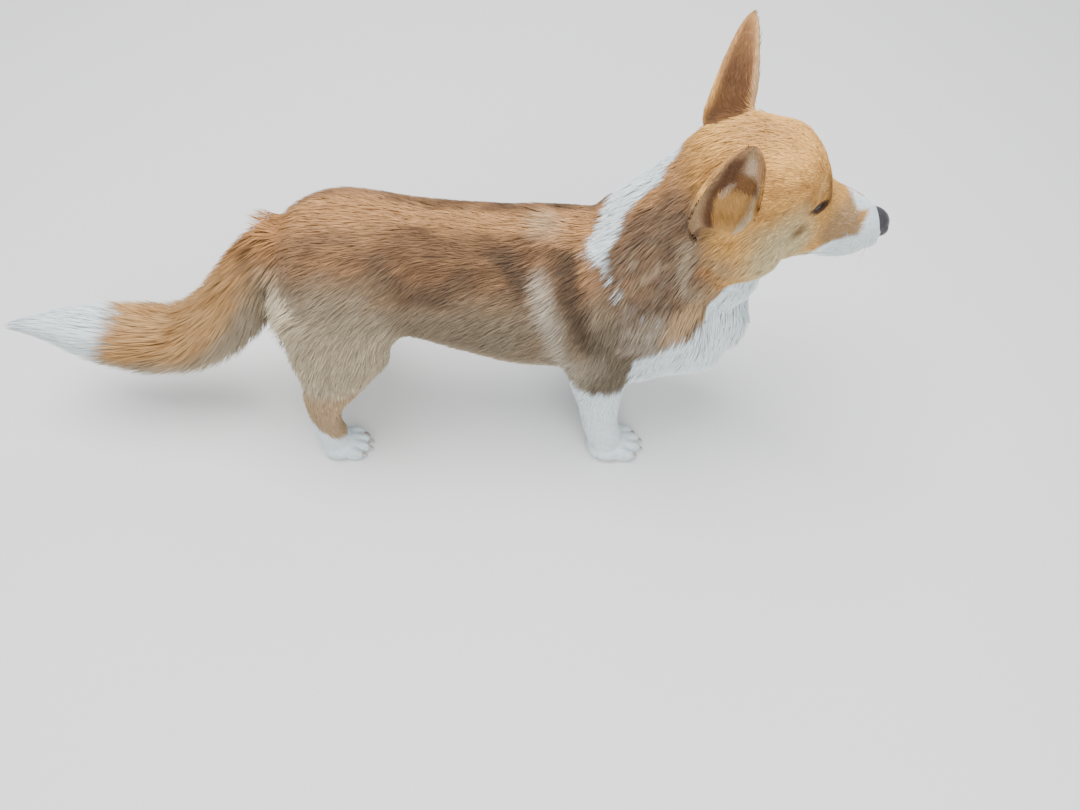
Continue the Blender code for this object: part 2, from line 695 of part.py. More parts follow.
def dress(skin):
    """Join every lock of the brush, the breeches and the chest to the skin, in one union."""
    draw = random.Random(SEED)
    surface = BVHTree.FromObject(skin, bpy.context.evaluated_depsgraph_get())
    shapes = brush_locks(draw)
    shapes += laid_locks(surface, bib_spots(), BIB_LOCK, (-0.3, 0, -1), draw)
    for sign in (1, -1):
        shapes += laid_locks(surface, breech_spots(sign), BREECH_LOCK, (-0.25, 0, -1), draw)
        shapes += laid_locks(surface, brisket_spots(sign), BIB_LOCK, (-1, 0, -0.12), draw)
    locks = bpy.data.collections.new("locks")
    for points, faces in shapes:
        piece = closed(mesh_object("lock", points, faces))
        bpy.context.scene.collection.objects.unlink(piece)
        locks.objects.link(piece)
    bpy.context.scene.collection.children.link(locks)
    union = skin.modifiers.new("Locks", "BOOLEAN")
    union.operation = "UNION"
    union.solver = "MANIFOLD"
    union.operand_type = "COLLECTION"
    union.collection = locks
    bake(skin)
    for piece in list(locks.objects):
        bpy.data.objects.remove(piece, do_unlink=True)
    bpy.data.collections.remove(locks)
    largest_piece(skin)


def largest_piece(obj):
    """Keep the object's largest closed surface and drop slivers."""
    work = bmesh.new()
    work.from_mesh(obj.data)
    left = set(work.verts)
    pieces = []
    while left:
        piece, edge = set(), [next(iter(left))]
        while edge:
            vert = edge.pop()
            if vert in piece:
                continue
            piece.add(vert)
            edge += [e.other_vert(vert) for e in vert.link_edges]
        left -= piece
        pieces.append(piece)
    pieces.sort(key=len)
    bmesh.ops.delete(work, geom=[v for piece in pieces[:-1] for v in piece], context="VERTS")
    bmesh.ops.dissolve_degenerate(work, dist=1e-6, edges=work.edges)
    bmesh.ops.triangulate(work, faces=work.faces)
    work.to_mesh(obj.data)
    work.free()
    return obj


def copy_of(obj, name):
    """A linked copy with its own mesh."""
    made = obj.copy()
    made.data = obj.data.copy()
    made.name = name
    bpy.context.scene.collection.objects.link(made)
    return made


def regions():
    """Where each part lies, in the order that they are taken from the skin."""
    made = {}
    for side, sign in (("left", 1), ("right", -1)):
        place = (EAR_CUT[0], EAR_CUT[1] * sign, EAR_CUT[2])
        made[f"ear_{side}"] = beyond(place, (0, 0.915 * sign, 0.402), reach=14, spread=9)
    made["nose"] = prism([(30.5, 27.25), (36, 26.8), (36, 33), (29.7, 33)], -2.2, 2.2)
    made["head"] = prism([(15.6, 24.9), (20.5, 24.5), (36, 23.0), (36, 60), (6, 60), (10.6, 39.4)])
    made["neck"] = prism([(-20, 47.5), (60, -6.9), (60, 70), (-20, 70)])
    made["tail"] = prism([(-60, 0), (-27.6, 0), (-26.3, 22), (-26.3, 30), (-60, 30)])
    for side, sign in (("left", 1), ("right", -1)):
        made[f"forepaw_{side}"] = limb((7.0, 7.6 * sign, 3.1), (0.25, 0, -1), sign, (-0.5, 16))
        made[f"foreleg_{side}"] = limb((7.0, 4.5 * sign, 10.6), (-0.2, 0.5 * sign, -1), sign, (-0.5, 10.4))
        made[f"hindpaw_{side}"] = limb((-22.5, 7.6 * sign, 3.1), (0.15, 0, -1), sign, (-40, -12.4))
        made[f"hindleg_{side}"] = limb((-20.0, 4.0 * sign, 15.2), (0, 1.2 * sign, -1), sign, (-40, -12.4))
    return made


def limb(place, direction, sign, span):
    """The space below a slanting plane, on one side of the dog and over a span of its length."""
    half = mesh_object("half", *beyond(place, direction))
    closed(half)
    low_x, high_x = span
    low_y, high_y = sorted((1.2 * sign, 14 * sign))
    corners = [(low_x, -6), (high_x, -6), (high_x, 26), (low_x, 26)]
    combine(half, [prism(corners, low_y, high_y)], "INTERSECT")
    points = [v.co.copy() for v in half.data.vertices]
    faces = [tuple(p.vertices) for p in half.data.polygons]
    bpy.data.objects.remove(half, do_unlink=True)
    return points, faces


def eyeball(side, sign):
    """One eye, a ball that fills its socket behind the lids."""
    centre = Vector((EYE_CENTRE.x, EYE_CENTRE.y * sign, EYE_CENTRE.z))
    return closed(mesh_object(f"eye_{side}", *mass(centre, [EYE_RADIUS] * 3, fineness=EYE_FINENESS)))


def eye_tools(sign):
    """The socket, and the almond-shaped opening of the lids in front of it."""
    centre = Vector((EYE_CENTRE.x, EYE_CENTRE.y * sign, EYE_CENTRE.z))
    gaze = Vector((EYE_GAZE.x, EYE_GAZE.y * sign, EYE_GAZE.z))
    socket = mass(centre, [EYE_RADIUS + GAP] * 3, fineness=EYE_FINENESS)
    across = Vector((0, 0, 1)).cross(gaze).normalized()
    rise = gaze.cross(across)
    corner, height = EYE_OPENING
    count = 20
    points = []
    for reach in (0.35, 2.2):
        for k in range(count):
            turn = 2 * math.pi * k / count
            lift = math.copysign(abs(math.sin(turn)) ** 1.35, math.sin(turn))
            spot = across * (corner * math.cos(turn)) + rise * (height * lift)
            points.append((centre + gaze * reach + spot) * CM)
    faces = [tuple(range(count)), tuple(reversed(range(count, 2 * count)))]
    faces += [(k, count + k, count + (k + 1) % count, (k + 1) % count) for k in range(count)]
    return [socket, (points, faces)]


def part_out(skin):
    """Part the skin into its named nodes, each clear of its neighbours by the gap."""
    nodes = {}
    for name, region in regions().items():
        nodes[name] = combine(copy_of(skin, name), [region], "INTERSECT")
        combine(skin, [grown(region, GAP)], "DIFFERENCE")
    skin.name = "torso"
    nodes["torso"] = skin
    for side, sign in (("left", 1), ("right", -1)):
        combine(nodes["head"], eye_tools(sign), "DIFFERENCE")
        nodes[f"eye_{side}"] = eyeball(side, sign)
    for node in nodes.values():
        largest_piece(node)
    return nodes


def stand(nodes):
    """Move every node so that the origin is below the middle of the whole dog, on the floor."""
    points = np.vstack([coordinates(node) for node in nodes.values()])
    low, high = points.min(0), points.max(0)
    middle = (low + high) / 2
    for node in nodes.values():
        set_coordinates(node, coordinates(node) - [middle[0], middle[1], 0.0])


def finish(nodes):
    """Give each node its finish and soft shading."""
    finishes = {
        "coat_tan": material("coat_tan", COAT_TAN, 0.8),
        "coat_white": material("coat_white", COAT_WHITE, 0.8),
        "nose_black": material("nose_black", NOSE_BLACK, 0.45),
        "eye_brown": material("eye_brown", EYE_BROWN, 0.08),
    }
    for name, node in nodes.items():
        kind = "coat_tan"
        if name.startswith("eye"):
            kind = "eye_brown"
        elif name == "nose":
            kind = "nose_black"
        elif name.startswith("fore") or name.startswith("hindpaw"):
            kind = "coat_white"
        node.data.materials.clear()
        node.data.materials.append(finishes[kind])
        node.data.name = name
        node.data.shade_smooth()
        node.data.set_sharp_from_angle(angle=math.radians(50))


def main():
    clear_scene()
    left_ear, right_ear = ear(LEFT_EAR), ear(RIGHT_EAR)
    shapes = [trunk(), neck(), throat(), skull_and_muzzle(), nose_pad(), tail(), left_ear, right_ear]
    shapes += both(face_masses())
    shapes += foreleg(FAR_FORE_STEP) + hindleg(FAR_HIND_STEP)
    shapes += [mirrored(s) for s in foreleg(0.0) + hindleg(0.0)]
    skin = fused(shapes)
    relax(skin)
    carve_face(skin)
    thin_out(skin)
    dress(skin)
    floor = beyond((0, 0, 0), (0, 0, -1), reach=20)
    combine(skin, [floor, ear_hollow(LEFT_EAR), ear_hollow(RIGHT_EAR)], "DIFFERENCE")
    nodes = part_out(skin)
    stand(nodes)
    finish(nodes)


if __name__ == "__main__":
    main()
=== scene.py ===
"""The looks of a young Pembroke Welsh corgi, a still model at life size.

One skin stands for all the nodes of flesh. The coat lies over it in tufts and locks of mesh,
which follow the lie of the hair, and the eyes, nose, claws and whiskers are pieces of their own.
Sizes and places are in centimetres in the dog's own frame, +X to the nose and +Y to its left,
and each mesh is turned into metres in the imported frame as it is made.
"""

import math

import bmesh
import bpy
import numpy as np
from mathutils import Matrix, Vector
from mathutils.bvhtree import BVHTree
from mathutils.kdtree import KDTree


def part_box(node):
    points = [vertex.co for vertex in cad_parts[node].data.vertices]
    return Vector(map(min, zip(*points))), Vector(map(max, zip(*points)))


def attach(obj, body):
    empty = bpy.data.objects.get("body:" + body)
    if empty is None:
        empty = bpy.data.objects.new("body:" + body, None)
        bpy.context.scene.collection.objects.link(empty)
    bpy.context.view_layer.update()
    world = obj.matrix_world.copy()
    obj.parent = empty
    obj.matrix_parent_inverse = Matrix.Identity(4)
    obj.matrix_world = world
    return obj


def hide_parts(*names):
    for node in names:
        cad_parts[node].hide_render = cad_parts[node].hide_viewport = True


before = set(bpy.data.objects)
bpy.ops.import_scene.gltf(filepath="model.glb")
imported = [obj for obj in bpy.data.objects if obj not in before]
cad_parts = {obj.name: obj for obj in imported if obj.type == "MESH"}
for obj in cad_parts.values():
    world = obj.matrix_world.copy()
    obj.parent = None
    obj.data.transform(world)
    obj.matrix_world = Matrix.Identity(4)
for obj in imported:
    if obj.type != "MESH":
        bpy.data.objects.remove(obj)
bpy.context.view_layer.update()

BODY = "root"
CM = 0.01

WITHERS = 28.4
CROUP = 30.0
BELLY = 14.9
CHEST_BOTTOM = 10.2
CHEST_HALF_WIDTH = 7.4
LOIN_HALF_WIDTH = 6.5
RUMP_X = -25.4
FORECHEST_X = 21.8
SKULL_TOP = 38.6
JAW_BOTTOM = 25.3
OCCIPUT_X = 13.2
NOSE_X = 32.2
PAW_Y = 7.6
FORE_PAW_X = 8.3
HIND_PAW_X = -22.5
FORE_PAW_SIZE = 1.1
HIND_PAW_SIZE = 1.0
FAR_FORE_STEP = -1.2
FAR_HIND_STEP = 0.5
TAIL_ROOT = (-24.0, 0.0, 26.2)
TAIL_TIP = (-58.2, 0.0, 13.0)
TAIL_THICKNESS = 8.2
TAIL_CORE = 0.58
EYE_CENTRE = np.array([23.2, 2.5, 33.1])
EYE_RADIUS = 0.98
LID_THICKNESS = 0.24
EYE_GAZE = Vector((0.66, 0.72, 0.20)).normalized()
EYE_OPENING = (0.84, 0.31)
LEFT_EAR = (Vector((17.2, 5.6, 35.4)), Vector((17.6, 7.9, 44.3)), Vector((0.93, 0.30, -0.2)))
RIGHT_EAR = (Vector((14.8, -6.5, 35.0)), Vector((15.4, -7.4, 43.1)), Vector((0.14, -0.98, -0.1)))
EAR_HALF_WIDTH = 2.9
EAR_THICKNESS = 0.42
EAR_BELOW = 0.34
RIM_SHARE = 0.55
MOUTH_LINE = [(24.4, 27.0), (26.4, 26.55), (28.2, 26.5), (29.8, 26.55), (31.2, 26.8), (32.0, 27.0)]
NOSTRIL = (31.75, 0.66, 28.35)
SOLE_Z = 0.02
WHISKER_RADII = (0.022, 0.02, 0.016, 0.011, 0.005)
# Up the neck, in the plane of X and Z.
UP_NECK = np.array([0.667, 0.745])

VOXEL = 0.0012
NOSE_VOXEL = 0.0005
SKIN_TRIANGLES = 300000
# How often the body, the whole skin and the nose are smoothed.
BODY_TURNS = 330
SKIN_TURNS = 4
NOSE_TURNS = 14
# A loft's sides, the turns of the rings in its round ends, and its least half width.
SIDES = 28
CAP_TURNS = (25, 50, 75)
LEAST_SIZE = 0.05
SEED = 11
TUFTS = 136000
SHORT_PIECES = 7
LONG_PIECES = 4
# How many tufts share a lock.
LOCK = 12
# How much darker the skin is than the coat: painted shade under the coat.
SKIN_PAINTED_SHADE = 0.88
# The unwrap's share of the skin's triangles, and a tuft's width on the unwrap.
UNWRAP_SHARE = 0.06
UV_PATCH = 0.003
UNWRAP_ANGLE = math.radians(66)
UNWRAP_MARGIN = 0.004
# The cells across the noise's lattice, and where in it the dog stands.
NOISE_CELLS = 32
NOISE_START = 1000.0
# How many points are worked on at once.
CHUNK = 20000

# The camera in the dog's frame, its tilt below level and its lens.
CAMERA_PLACE = (0.0, -55.0, 82.0)
CAMERA_TILT = math.radians(57.0)
LENS = 27.03
SENSOR = 36.0
CLIP_START = 0.02
FLOOR_REACH = 400
FLOOR_Z = -0.02
# Each light's name, place, width in metres and power, and the place they are aimed at.
LIGHTS = (
    ("key", (-30, 10, 210), 1.5, 78.0),
    ("front", (30, -150, 110), 1.4, 26.0),
    ("back", (20, 160, 150), 1.2, 12.0),
)
LIGHTS_AIM = (-5, 0, 18)
# The eye's colours, from the middle of its pupil to the white, by their share of its radius.
IRIS = (
    (0.0, (0.003, 0.003, 0.003)),
    (0.26, (0.003, 0.003, 0.003)),
    (0.31, (0.05, 0.018, 0.006)),
    (0.60, (0.085, 0.032, 0.011)),
    (0.68, (0.012, 0.007, 0.005)),
    (0.80, (0.30, 0.24, 0.21)),
)

low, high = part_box("eye_left")
SHIFT = np.array([(low[0] + high[0]) / 2 / CM - EYE_CENTRE[0], 0.0, 0.0])


def in_frame(points):
    """Points in centimetres in the dog's frame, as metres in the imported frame."""
    return (np.asarray(points, float) + SHIFT) * CM


def link(name, data):
    """A linked object that carries this mesh, light or camera."""
    obj = bpy.data.objects.new(name, data)
    bpy.context.scene.collection.objects.link(obj)
    return obj


def mesh_object(name, points, faces):
    """A linked object from points in the dog's frame and faces."""
    mesh = bpy.data.meshes.new(name)
    mesh.from_pydata(in_frame(points).tolist(), [], [tuple(int(i) for i in f) for f in faces])
    mesh.update()
    return link(name, mesh)


def bake(obj):
    """Apply the object's modifiers to its mesh."""
    bpy.context.view_layer.update()
    graph = bpy.context.evaluated_depsgraph_get()
    made = bpy.data.meshes.new_from_object(obj.evaluated_get(graph))
    obj.modifiers.clear()
    obj.data = made
    return obj


def coordinates(obj):
    """The object's points, in the dog's frame."""
    flat = np.empty(len(obj.data.vertices) * 3, np.float32)
    obj.data.vertices.foreach_get("co", flat)
    return flat.reshape(-1, 3).astype(float) / CM - SHIFT


def set_coordinates(obj, points):
    """Move the object's points to these places in the dog's frame."""
    obj.data.vertices.foreach_set("co", in_frame(points).astype(np.float32).ravel())
    obj.data.update()


def normals(obj):
    """The direction that each point's surface faces."""
    flat = np.empty(len(obj.data.vertices) * 3, np.float32)
    obj.data.vertex_normals.foreach_get("vector", flat)
    return flat.reshape(-1, 3).astype(float)


def step_up(values, start, end):
    """0 before start and 1 after end, with a smooth rise between."""
    t = np.clip((values - start) / (end - start), 0, 1)
    return t * t * (3 - 2 * t)


def fade(values, start, end):
    """1 before start and 0 after end."""
    return 1 - step_up(values, start, end)


def between(values, start, full, waning, end):
    """0 before start, 1 from full to waning, and 0 after end."""
    return step_up(values, start, full) * fade(values, waning, end)


def left_side(points):
    """The points, with those of the dog's right side mirrored onto its left."""
    return np.stack([points[:, 0], np.abs(points[:, 1]), points[:, 2]], -1)


def unit(vectors):
    """The vectors at length 1."""
    return vectors / (np.linalg.norm(vectors, axis=-1, keepdims=True) + 1e-9)


def near_line(points, line):
    """How far each row of points is from a line of points."""
    best = np.full(len(points), 1e9)
    for a, b in zip(line[:-1], line[1:]):
        a, b = np.array(a), np.array(b)
        along = np.clip((points - a) @ (b - a) / ((b - a) @ (b - a)), 0, 1)
        best = np.minimum(best, np.linalg.norm(points - a - along[:, None] * (b - a), axis=1))
    return best


def by_line(points, line, start, end):
    """1 near the line, and 0 beyond end from it."""
    return fade(near_line(points, line), start, end)


def noise(points, size, seed):
    """Smooth noise from -1 to 1, with features of about this size."""
    lattice = np.random.default_rng(seed).uniform(-1, 1, (NOISE_CELLS,) * 3)
    place = points / size + NOISE_START
    cell = np.floor(place).astype(int)
    t = place - cell
    t = t * t * (3 - 2 * t)
    total = np.zeros(len(points))
    for corner in np.ndindex(2, 2, 2):
        share = np.where(corner, t, 1 - t)
        value = lattice[tuple(((cell + corner) % NOISE_CELLS).T)]
        total += share[:, 0] * share[:, 1] * share[:, 2] * value
    return total


def catmull(rows, steps):
    """Rows of numbers, with steps rows between each pair on a smooth curve through them."""
    rows = np.array(rows, float)
    ends = np.vstack([2 * rows[0] - rows[1], rows, 2 * rows[-1] - rows[-2]])
    made = []
    for i in range(1, len(ends) - 2):
        a, b, c, d = ends[i - 1 : i + 3]
        bend, twist = 2 * a - 5 * b + 4 * c - d, 3 * b - a - 3 * c + d
        made += [b + 0.5 * ((c - a) * t + bend * t**2 + twist * t**3) for t in np.arange(steps) / steps]
    return np.array([*made, rows[-1]])


def section(centre, tangent, half_width, up, down, squareness):
    """One ring of a loft, across its path. Its width runs along Y as nearly as the path lets it."""
    side = Vector((0, 1, 0))
    side = (side - tangent * side.dot(tangent)).normalized()
    rise = tangent.cross(side)
    points = []
    for k in range(SIDES):
        angle = 2 * math.pi * k / SIDES
        c, s = math.cos(angle), math.sin(angle)
        across = math.copysign(abs(c) ** (2 / squareness), c) * half_width
        along = math.copysign(abs(s) ** (2 / squareness), s) * (up if s > 0 else down)
        points.append(centre + side * across + rise * along)
    return points


def ring_faces(rings, sides, closed=False):
    """The faces between rings of points, with flat ends, or joined in a loop."""
    faces = []
    for i in range(rings if closed else rings - 1):
        here, there = i * sides, (i + 1) % rings * sides
        for k in range(sides):
            after = (k + 1) % sides
            faces.append((here + k, here + after, there + after, there + k))
    if not closed:
        faces.append(tuple(reversed(range(sides))))
        faces.append(tuple((rings - 1) * sides + k for k in range(sides)))
    return faces


def loft(rows, steps=5, squareness=2.0, cap=0.6, ahead_of_all=None):
    """(points, faces) of a closed tube with round ends, through rows of x, y, z, half width, up and down."""
    rows = catmull(rows, steps)
    centres = [Vector(r[:3]) for r in rows]
    sections = []
    for i, row in enumerate(rows):
        ahead, behind = centres[min(i + 1, len(rows) - 1)], centres[max(i - 1, 0)]
        tangent = ahead_of_all or (ahead - behind).normalized()
        sections.append((centres[i], tangent, np.maximum(row[3:6], LEAST_SIZE)))
    start_cap, end_cap = [], []
    for turn in CAP_TURNS:
        shrink, push = math.cos(math.radians(turn)), math.sin(math.radians(turn)) * cap
        for end, sign, caps in ((sections[0], -1, start_cap), (sections[-1], 1, end_cap)):
            centre, tangent, sizes = end
            caps.append((centre + tangent * (sign * push * min(sizes)), tangent, sizes * shrink))
    points = []
    sections = start_cap[::-1] + sections + end_cap
    for centre, tangent, sizes in sections:
        points += section(centre, tangent, *sizes, squareness)
    return points, ring_faces(len(sections), SIDES)


def mass(centre, radii, turn_y=0.0, turn_z=0.0, fineness=3):
    """(points, faces) of an ellipsoid, for a muscle, a cheek or a toe. Turns are in degrees."""
    work = bmesh.new()
    spin = Matrix.Rotation(math.radians(turn_z), 4, "Z") @ Matrix.Rotation(math.radians(turn_y), 4, "Y")
    place = Matrix.Translation(Vector(centre)) @ spin @ Matrix.Diagonal((*radii, 1))
    bmesh.ops.create_icosphere(work, subdivisions=fineness, radius=1.0, matrix=place)
    points = [v.co.copy() for v in work.verts]
    faces = [tuple(v.index for v in f.verts) for f in work.faces]
    work.free()
    return points, faces


def mirrored(shape):
    """The same shape on the dog's other side."""
    points, faces = shape
    return [Vector((p[0], -p[1], p[2])) for p in points], [tuple(reversed(f)) for f in faces]


def upright(x, bottom, top, half_width):
    """A loft row for a section that stands across X, from its lowest and highest point."""
    half = (top - bottom) / 2
    return (x, 0, bottom + half, half_width, half, half)


def trunk():
    """Rump, loin, chest and forechest."""
    return loft([
        upright(RUMP_X + 0.6, 20.2, CROUP - 2.6, 4.0),
        upright(RUMP_X + 3.0, 17.6, CROUP - 0.3, 6.0),
        upright(-18.6, 15.8, CROUP + 0.5, LOIN_HALF_WIDTH + 0.4),
        upright(-12.5, BELLY, CROUP - 0.4, LOIN_HALF_WIDTH),
        upright(-6.5, BELLY - 2.6, WITHERS + 0.6, LOIN_HALF_WIDTH + 0.4),
        upright(-0.5, CHEST_BOTTOM, WITHERS + 0.2, CHEST_HALF_WIDTH),
        upright(6.0, CHEST_BOTTOM, WITHERS, CHEST_HALF_WIDTH),
        upright(12.0, CHEST_BOTTOM - 2.1, WITHERS + 0.4, CHEST_HALF_WIDTH),
        upright(16.2, CHEST_BOTTOM - 1.7, 27.2, 6.8),
        upright(FORECHEST_X - 3.1, 11.6, 25.2, 4.7),
    ])


def neck():
    """The thick neck with its ruff, from the shoulders to the back of the skull."""
    return loft([
        (5.5, 0, 19.8, 6.4, 6.6, 6.6),
        (10.3, 0, 23.6, 6.7, 7.3, 8.2),
        (14.4, 0, 28.2, 6.3, 7.2, 7.6),
        (16.6, 0, 32.2, 5.9, 6.0, 6.4),
    ])


def throat():
    """The full front of the neck, between the jaw and the forechest."""
    return mass((18.0, 0, 23.2), (3.7, 4.9, 4.6), turn_y=-12)


def skull_and_muzzle():
    """The head from the occiput to the nose, wedge-shaped like a fox's."""
    return loft([
        upright(OCCIPUT_X, 29.2, SKULL_TOP - 1.5, 3.9),
        upright(15.2, 26.8, SKULL_TOP - 0.3, 5.5),
        upright(18.2, JAW_BOTTOM + 0.4, SKULL_TOP + 0.2, 6.0),
        upright(20.6, JAW_BOTTOM + 0.1, SKULL_TOP, 5.4),
        upright(22.3, JAW_BOTTOM, SKULL_TOP - 0.35, 4.6),
        upright(23.6, JAW_BOTTOM, SKULL_TOP - 1.45, 3.85),
        upright(24.7, JAW_BOTTOM, SKULL_TOP - 3.0, 3.3),
        upright(25.4, JAW_BOTTOM, SKULL_TOP - 4.9, 2.95),
        upright(26.4, JAW_BOTTOM, SKULL_TOP - 6.0, 2.7),
        upright(28.2, JAW_BOTTOM + 0.1, SKULL_TOP - 7.0, 2.4),
        upright(29.6, JAW_BOTTOM + 0.4, SKULL_TOP - 7.8, 2.15),
        upright(30.5, JAW_BOTTOM + 0.8, SKULL_TOP - 8.55, 1.9),
        upright(31.0, JAW_BOTTOM + 1.3, SKULL_TOP - 9.1, 1.6),
    ], squareness=2.25, cap=0.35, ahead_of_all=Vector((1, 0, 0)))


def face_masses():
    """One side's cheek, brow, lid, lip and chin."""
    return [
        mass((17.6, 4.1, 29.6), (4.3, 2.7, 4.3), turn_y=15),
        mass((20.6, 2.7, 29.4), (3.6, 2.0, 2.6), turn_y=10),
        mass((23.8, 1.7, 29.2), (3.4, 1.8, 2.4), turn_y=8),
        mass((20.9, 2.1, 35.5), (2.6, 1.8, 1.5), turn_y=28),
        mass((23.0, 2.1, 34.1), (1.3, 1.2, 0.7), turn_y=35),
        mass(EYE_CENTRE, [EYE_RADIUS + LID_THICKNESS] * 3),
        mass((27.3, 1.15, 27.8), (3.5, 1.5, 1.75), turn_y=4),
        mass((29.9, 0.85, 27.4), (1.5, 1.15, 1.3)),
        mass((27.4, 0.6, 26.0), (3.1, 1.2, 1.0)),
    ]


def ear_axes(ear_places):
    """The ear's own directions, to its tip, out of its opening and across it, and its length."""
    base, tip, opens = ear_places
    axis = (tip - base).normalized()
    opens = (opens - axis * opens.dot(axis)).normalized()
    return axis, opens, axis.cross(opens), (tip - base).length


def ear_size(up, down):
    """An ear's half width and depth, at a share of its height or of what lies below its base."""
    half = EAR_HALF_WIDTH * (1 - up**1.6) ** 0.62 * (1 - 0.5 * down**2) + 0.12
    return half, half * (0.85 - 0.30 * up)


def ear(ear_places):
    """An ear: a cupped leaf on the side of the skull."""
    axis, opens, across, length = ear_axes(ear_places)
    rows, columns = 16, 18
    points = []
    for inner in (0.0, EAR_THICKNESS):
        for i in range(rows + 1):
            s = -EAR_BELOW + (1 + EAR_BELOW) * i / rows
            half, depth = ear_size(max(s, 0.0), max(-s, 0.0) / EAR_BELOW)
            half, depth = max(half - inner * RIM_SHARE, 0.06), max(depth - inner, 0.02)
            rise = min(s * length, length - 0.35 * inner)
            for j in range(columns + 1):
                turn = math.pi * (j / columns - 0.5) * 1.06
                place = axis * rise + across * (half * math.sin(turn)) - opens * (depth * math.cos(turn))
                points.append(ear_places[0] + place)
    wide = columns + 1
    count = wide * (rows + 1)
    faces = []
    for i in range(rows):
        for j in range(columns):
            a, b = i * wide + j, i * wide + j + 1
            faces.append((a, b, b + wide, a + wide))
            faces.append((count + a + wide, count + b + wide, count + b, count + a))
    border = list(range(columns))
    border += [i * wide + columns for i in range(rows)]
    border += [rows * wide + j for j in range(columns, 0, -1)]
    border += [i * wide for i in range(rows, 0, -1)]
    for here, after in zip(border, border[1:] + border[:1]):
        faces.append((after, here, count + here, count + after))
    return points, faces


def foreleg(step):
    """The left foreleg, from the shoulder to the pastern. Step moves its paw along X."""
    paw = FORE_PAW_X + step
    return [
        mass((5.2, 4.3, 18.6), (5.0, 3.7, 7.2), turn_y=-18),
        mass((10.4, 4.2, 14.0), (4.4, 2.7, 3.8), turn_y=-20),
        loft([
            (5.8 + step * 0.2, 4.8, 17.5, 3.4, 4.0, 4.0),
            (5.9 + step * 0.4, 5.9, 12.8, 2.8, 3.4, 3.2),
            (6.3 + step * 0.7, 6.8, 8.8, 2.25, 2.5, 2.4),
            (6.6 + step, 7.3, 5.4, 2.0, 2.1, 2.1),
            (paw - 1.0, PAW_Y, 2.6, 1.95, 2.1, 2.0),
        ]),
        *paw_masses(paw, FORE_PAW_SIZE),
    ]


def hindleg(step):
    """The left hind leg, from the haunch to the pastern. Step moves its paw along X."""
    paw = HIND_PAW_X + step
    return [
        mass((-18.4, 3.9, 21.0), (6.2, 3.8, 6.5), turn_y=25),
        mass((-20.2, 4.9, 16.9), (5.2, 3.4, 6.2), turn_y=-14),
        loft([
            (-19.8, 5.0, 20.5, 3.1, 5.8, 5.8),
            (-20.3 + step * 0.2, 5.9, 16.6, 2.9, 5.0, 5.2),
            (-21.6 + step * 0.5, 6.8, 12.6, 2.4, 3.4, 3.7),
            (-23.0 + step * 0.8, 7.3, 9.6, 1.95, 2.4, 2.3),
            (-23.6 + step, PAW_Y, 6.0, 1.7, 1.8, 1.8),
            (paw - 0.9, PAW_Y, 2.6, 1.8, 1.9, 1.9),
        ]),
        *paw_masses(paw, HIND_PAW_SIZE),
    ]


TOES = ((-1.35, 1.35), (-0.48, 2.0), (0.48, 2.0), (1.35, 1.35))


def paw_masses(x, size):
    """The pad and the four toes of a left paw, resting on the floor."""
    made = [mass((x - 0.5 * size, PAW_Y, 1.15), (2.3 * size, 2.05 * size, 1.5))]
    for across, reach in TOES:
        toe = (x + (reach - 0.5) * size, PAW_Y + across * size, 1.05)
        made.append(mass(toe, (1.35 * size, 0.60 * size, 1.12), turn_z=across * 6))
    return made


def tail_rows():
    """The full, hanging tail from its root to its tip, out to the ends of its brush."""
    half = TAIL_THICKNESS / 2
    return [
        (TAIL_ROOT[0], 0, TAIL_ROOT[2], half * 0.76, half * 0.78, half * 0.80),
        (-27.8, 0, 22.6, half * 0.88, half * 0.80, half * 1.06),
        (-31.4, 0, 18.2, half * 0.98, half * 0.82, half * 1.20),
        (-34.8, 0, 14.4, half * 1.05, half * 0.86, half * 1.22),
        (-38.2, 0, 11.8, half * 1.10, half * 0.90, half * 1.20),
        (-41.5, 0, 11.1, half * 1.10, half * 0.95, half * 1.16),
        (-45.0, 0, 11.3, half * 1.05, half * 0.95, half * 1.10),
        (-48.6, 0, 12.0, half * 0.90, half * 0.86, half * 0.94),
        (-51.8, 0, 12.8, half * 0.62, half * 0.60, half * 0.64),
        (-55.0, 0, 13.3, 1.3, 1.3, 1.3),
        (TAIL_TIP[0], 0, TAIL_TIP[2], 0.25, 0.25, 0.25),
    ]


def tail():
    """The tail's core, under the brush."""
    rows = [(*row[:3], *[TAIL_CORE * size for size in row[3:]]) for row in tail_rows()[:-2]]
    rows[0] = tail_rows()[0]
    return loft([(x, y, z, w, down, up) for x, y, z, w, up, down in rows], cap=0.5)


def both(shapes):
    """The shapes and their mirror images."""
    return [*shapes, *[mirrored(s) for s in shapes]]


def joined(shapes):
    """(points, faces) of all the shapes together."""
    points, faces = [], []
    for shape_points, shape_faces in shapes:
        start = len(points)
        points += [tuple(p) for p in shape_points]
        faces += [tuple(start + i for i in f) for f in shape_faces]
    return points, faces


def fused(name, shapes, voxel):
    """One object whose surface is the outside of all the shapes together."""
    obj = mesh_object(name, *joined(shapes))
    remesh = obj.modifiers.new("Fuse", "REMESH")
    remesh.mode = "VOXEL"
    remesh.voxel_size = voxel
    return bake(obj)


def soften(obj, name, turns, group=""):
    """Smooth the object, as much as the vertex group says."""
    smooth = obj.modifiers.new(name, "SMOOTH")
    smooth.factor = 0.5
    smooth.iterations = turns
    smooth.vertex_group = group


def weigh(obj, name, weights):
    """A vertex group with these weights, in tenths."""
    group = obj.vertex_groups.new(name=name)
    tenths = np.round(weights * 10).astype(int)
    for tenth in range(1, 11):
        group.add(np.flatnonzero(tenths == tenth).tolist(), tenth / 10, "REPLACE")


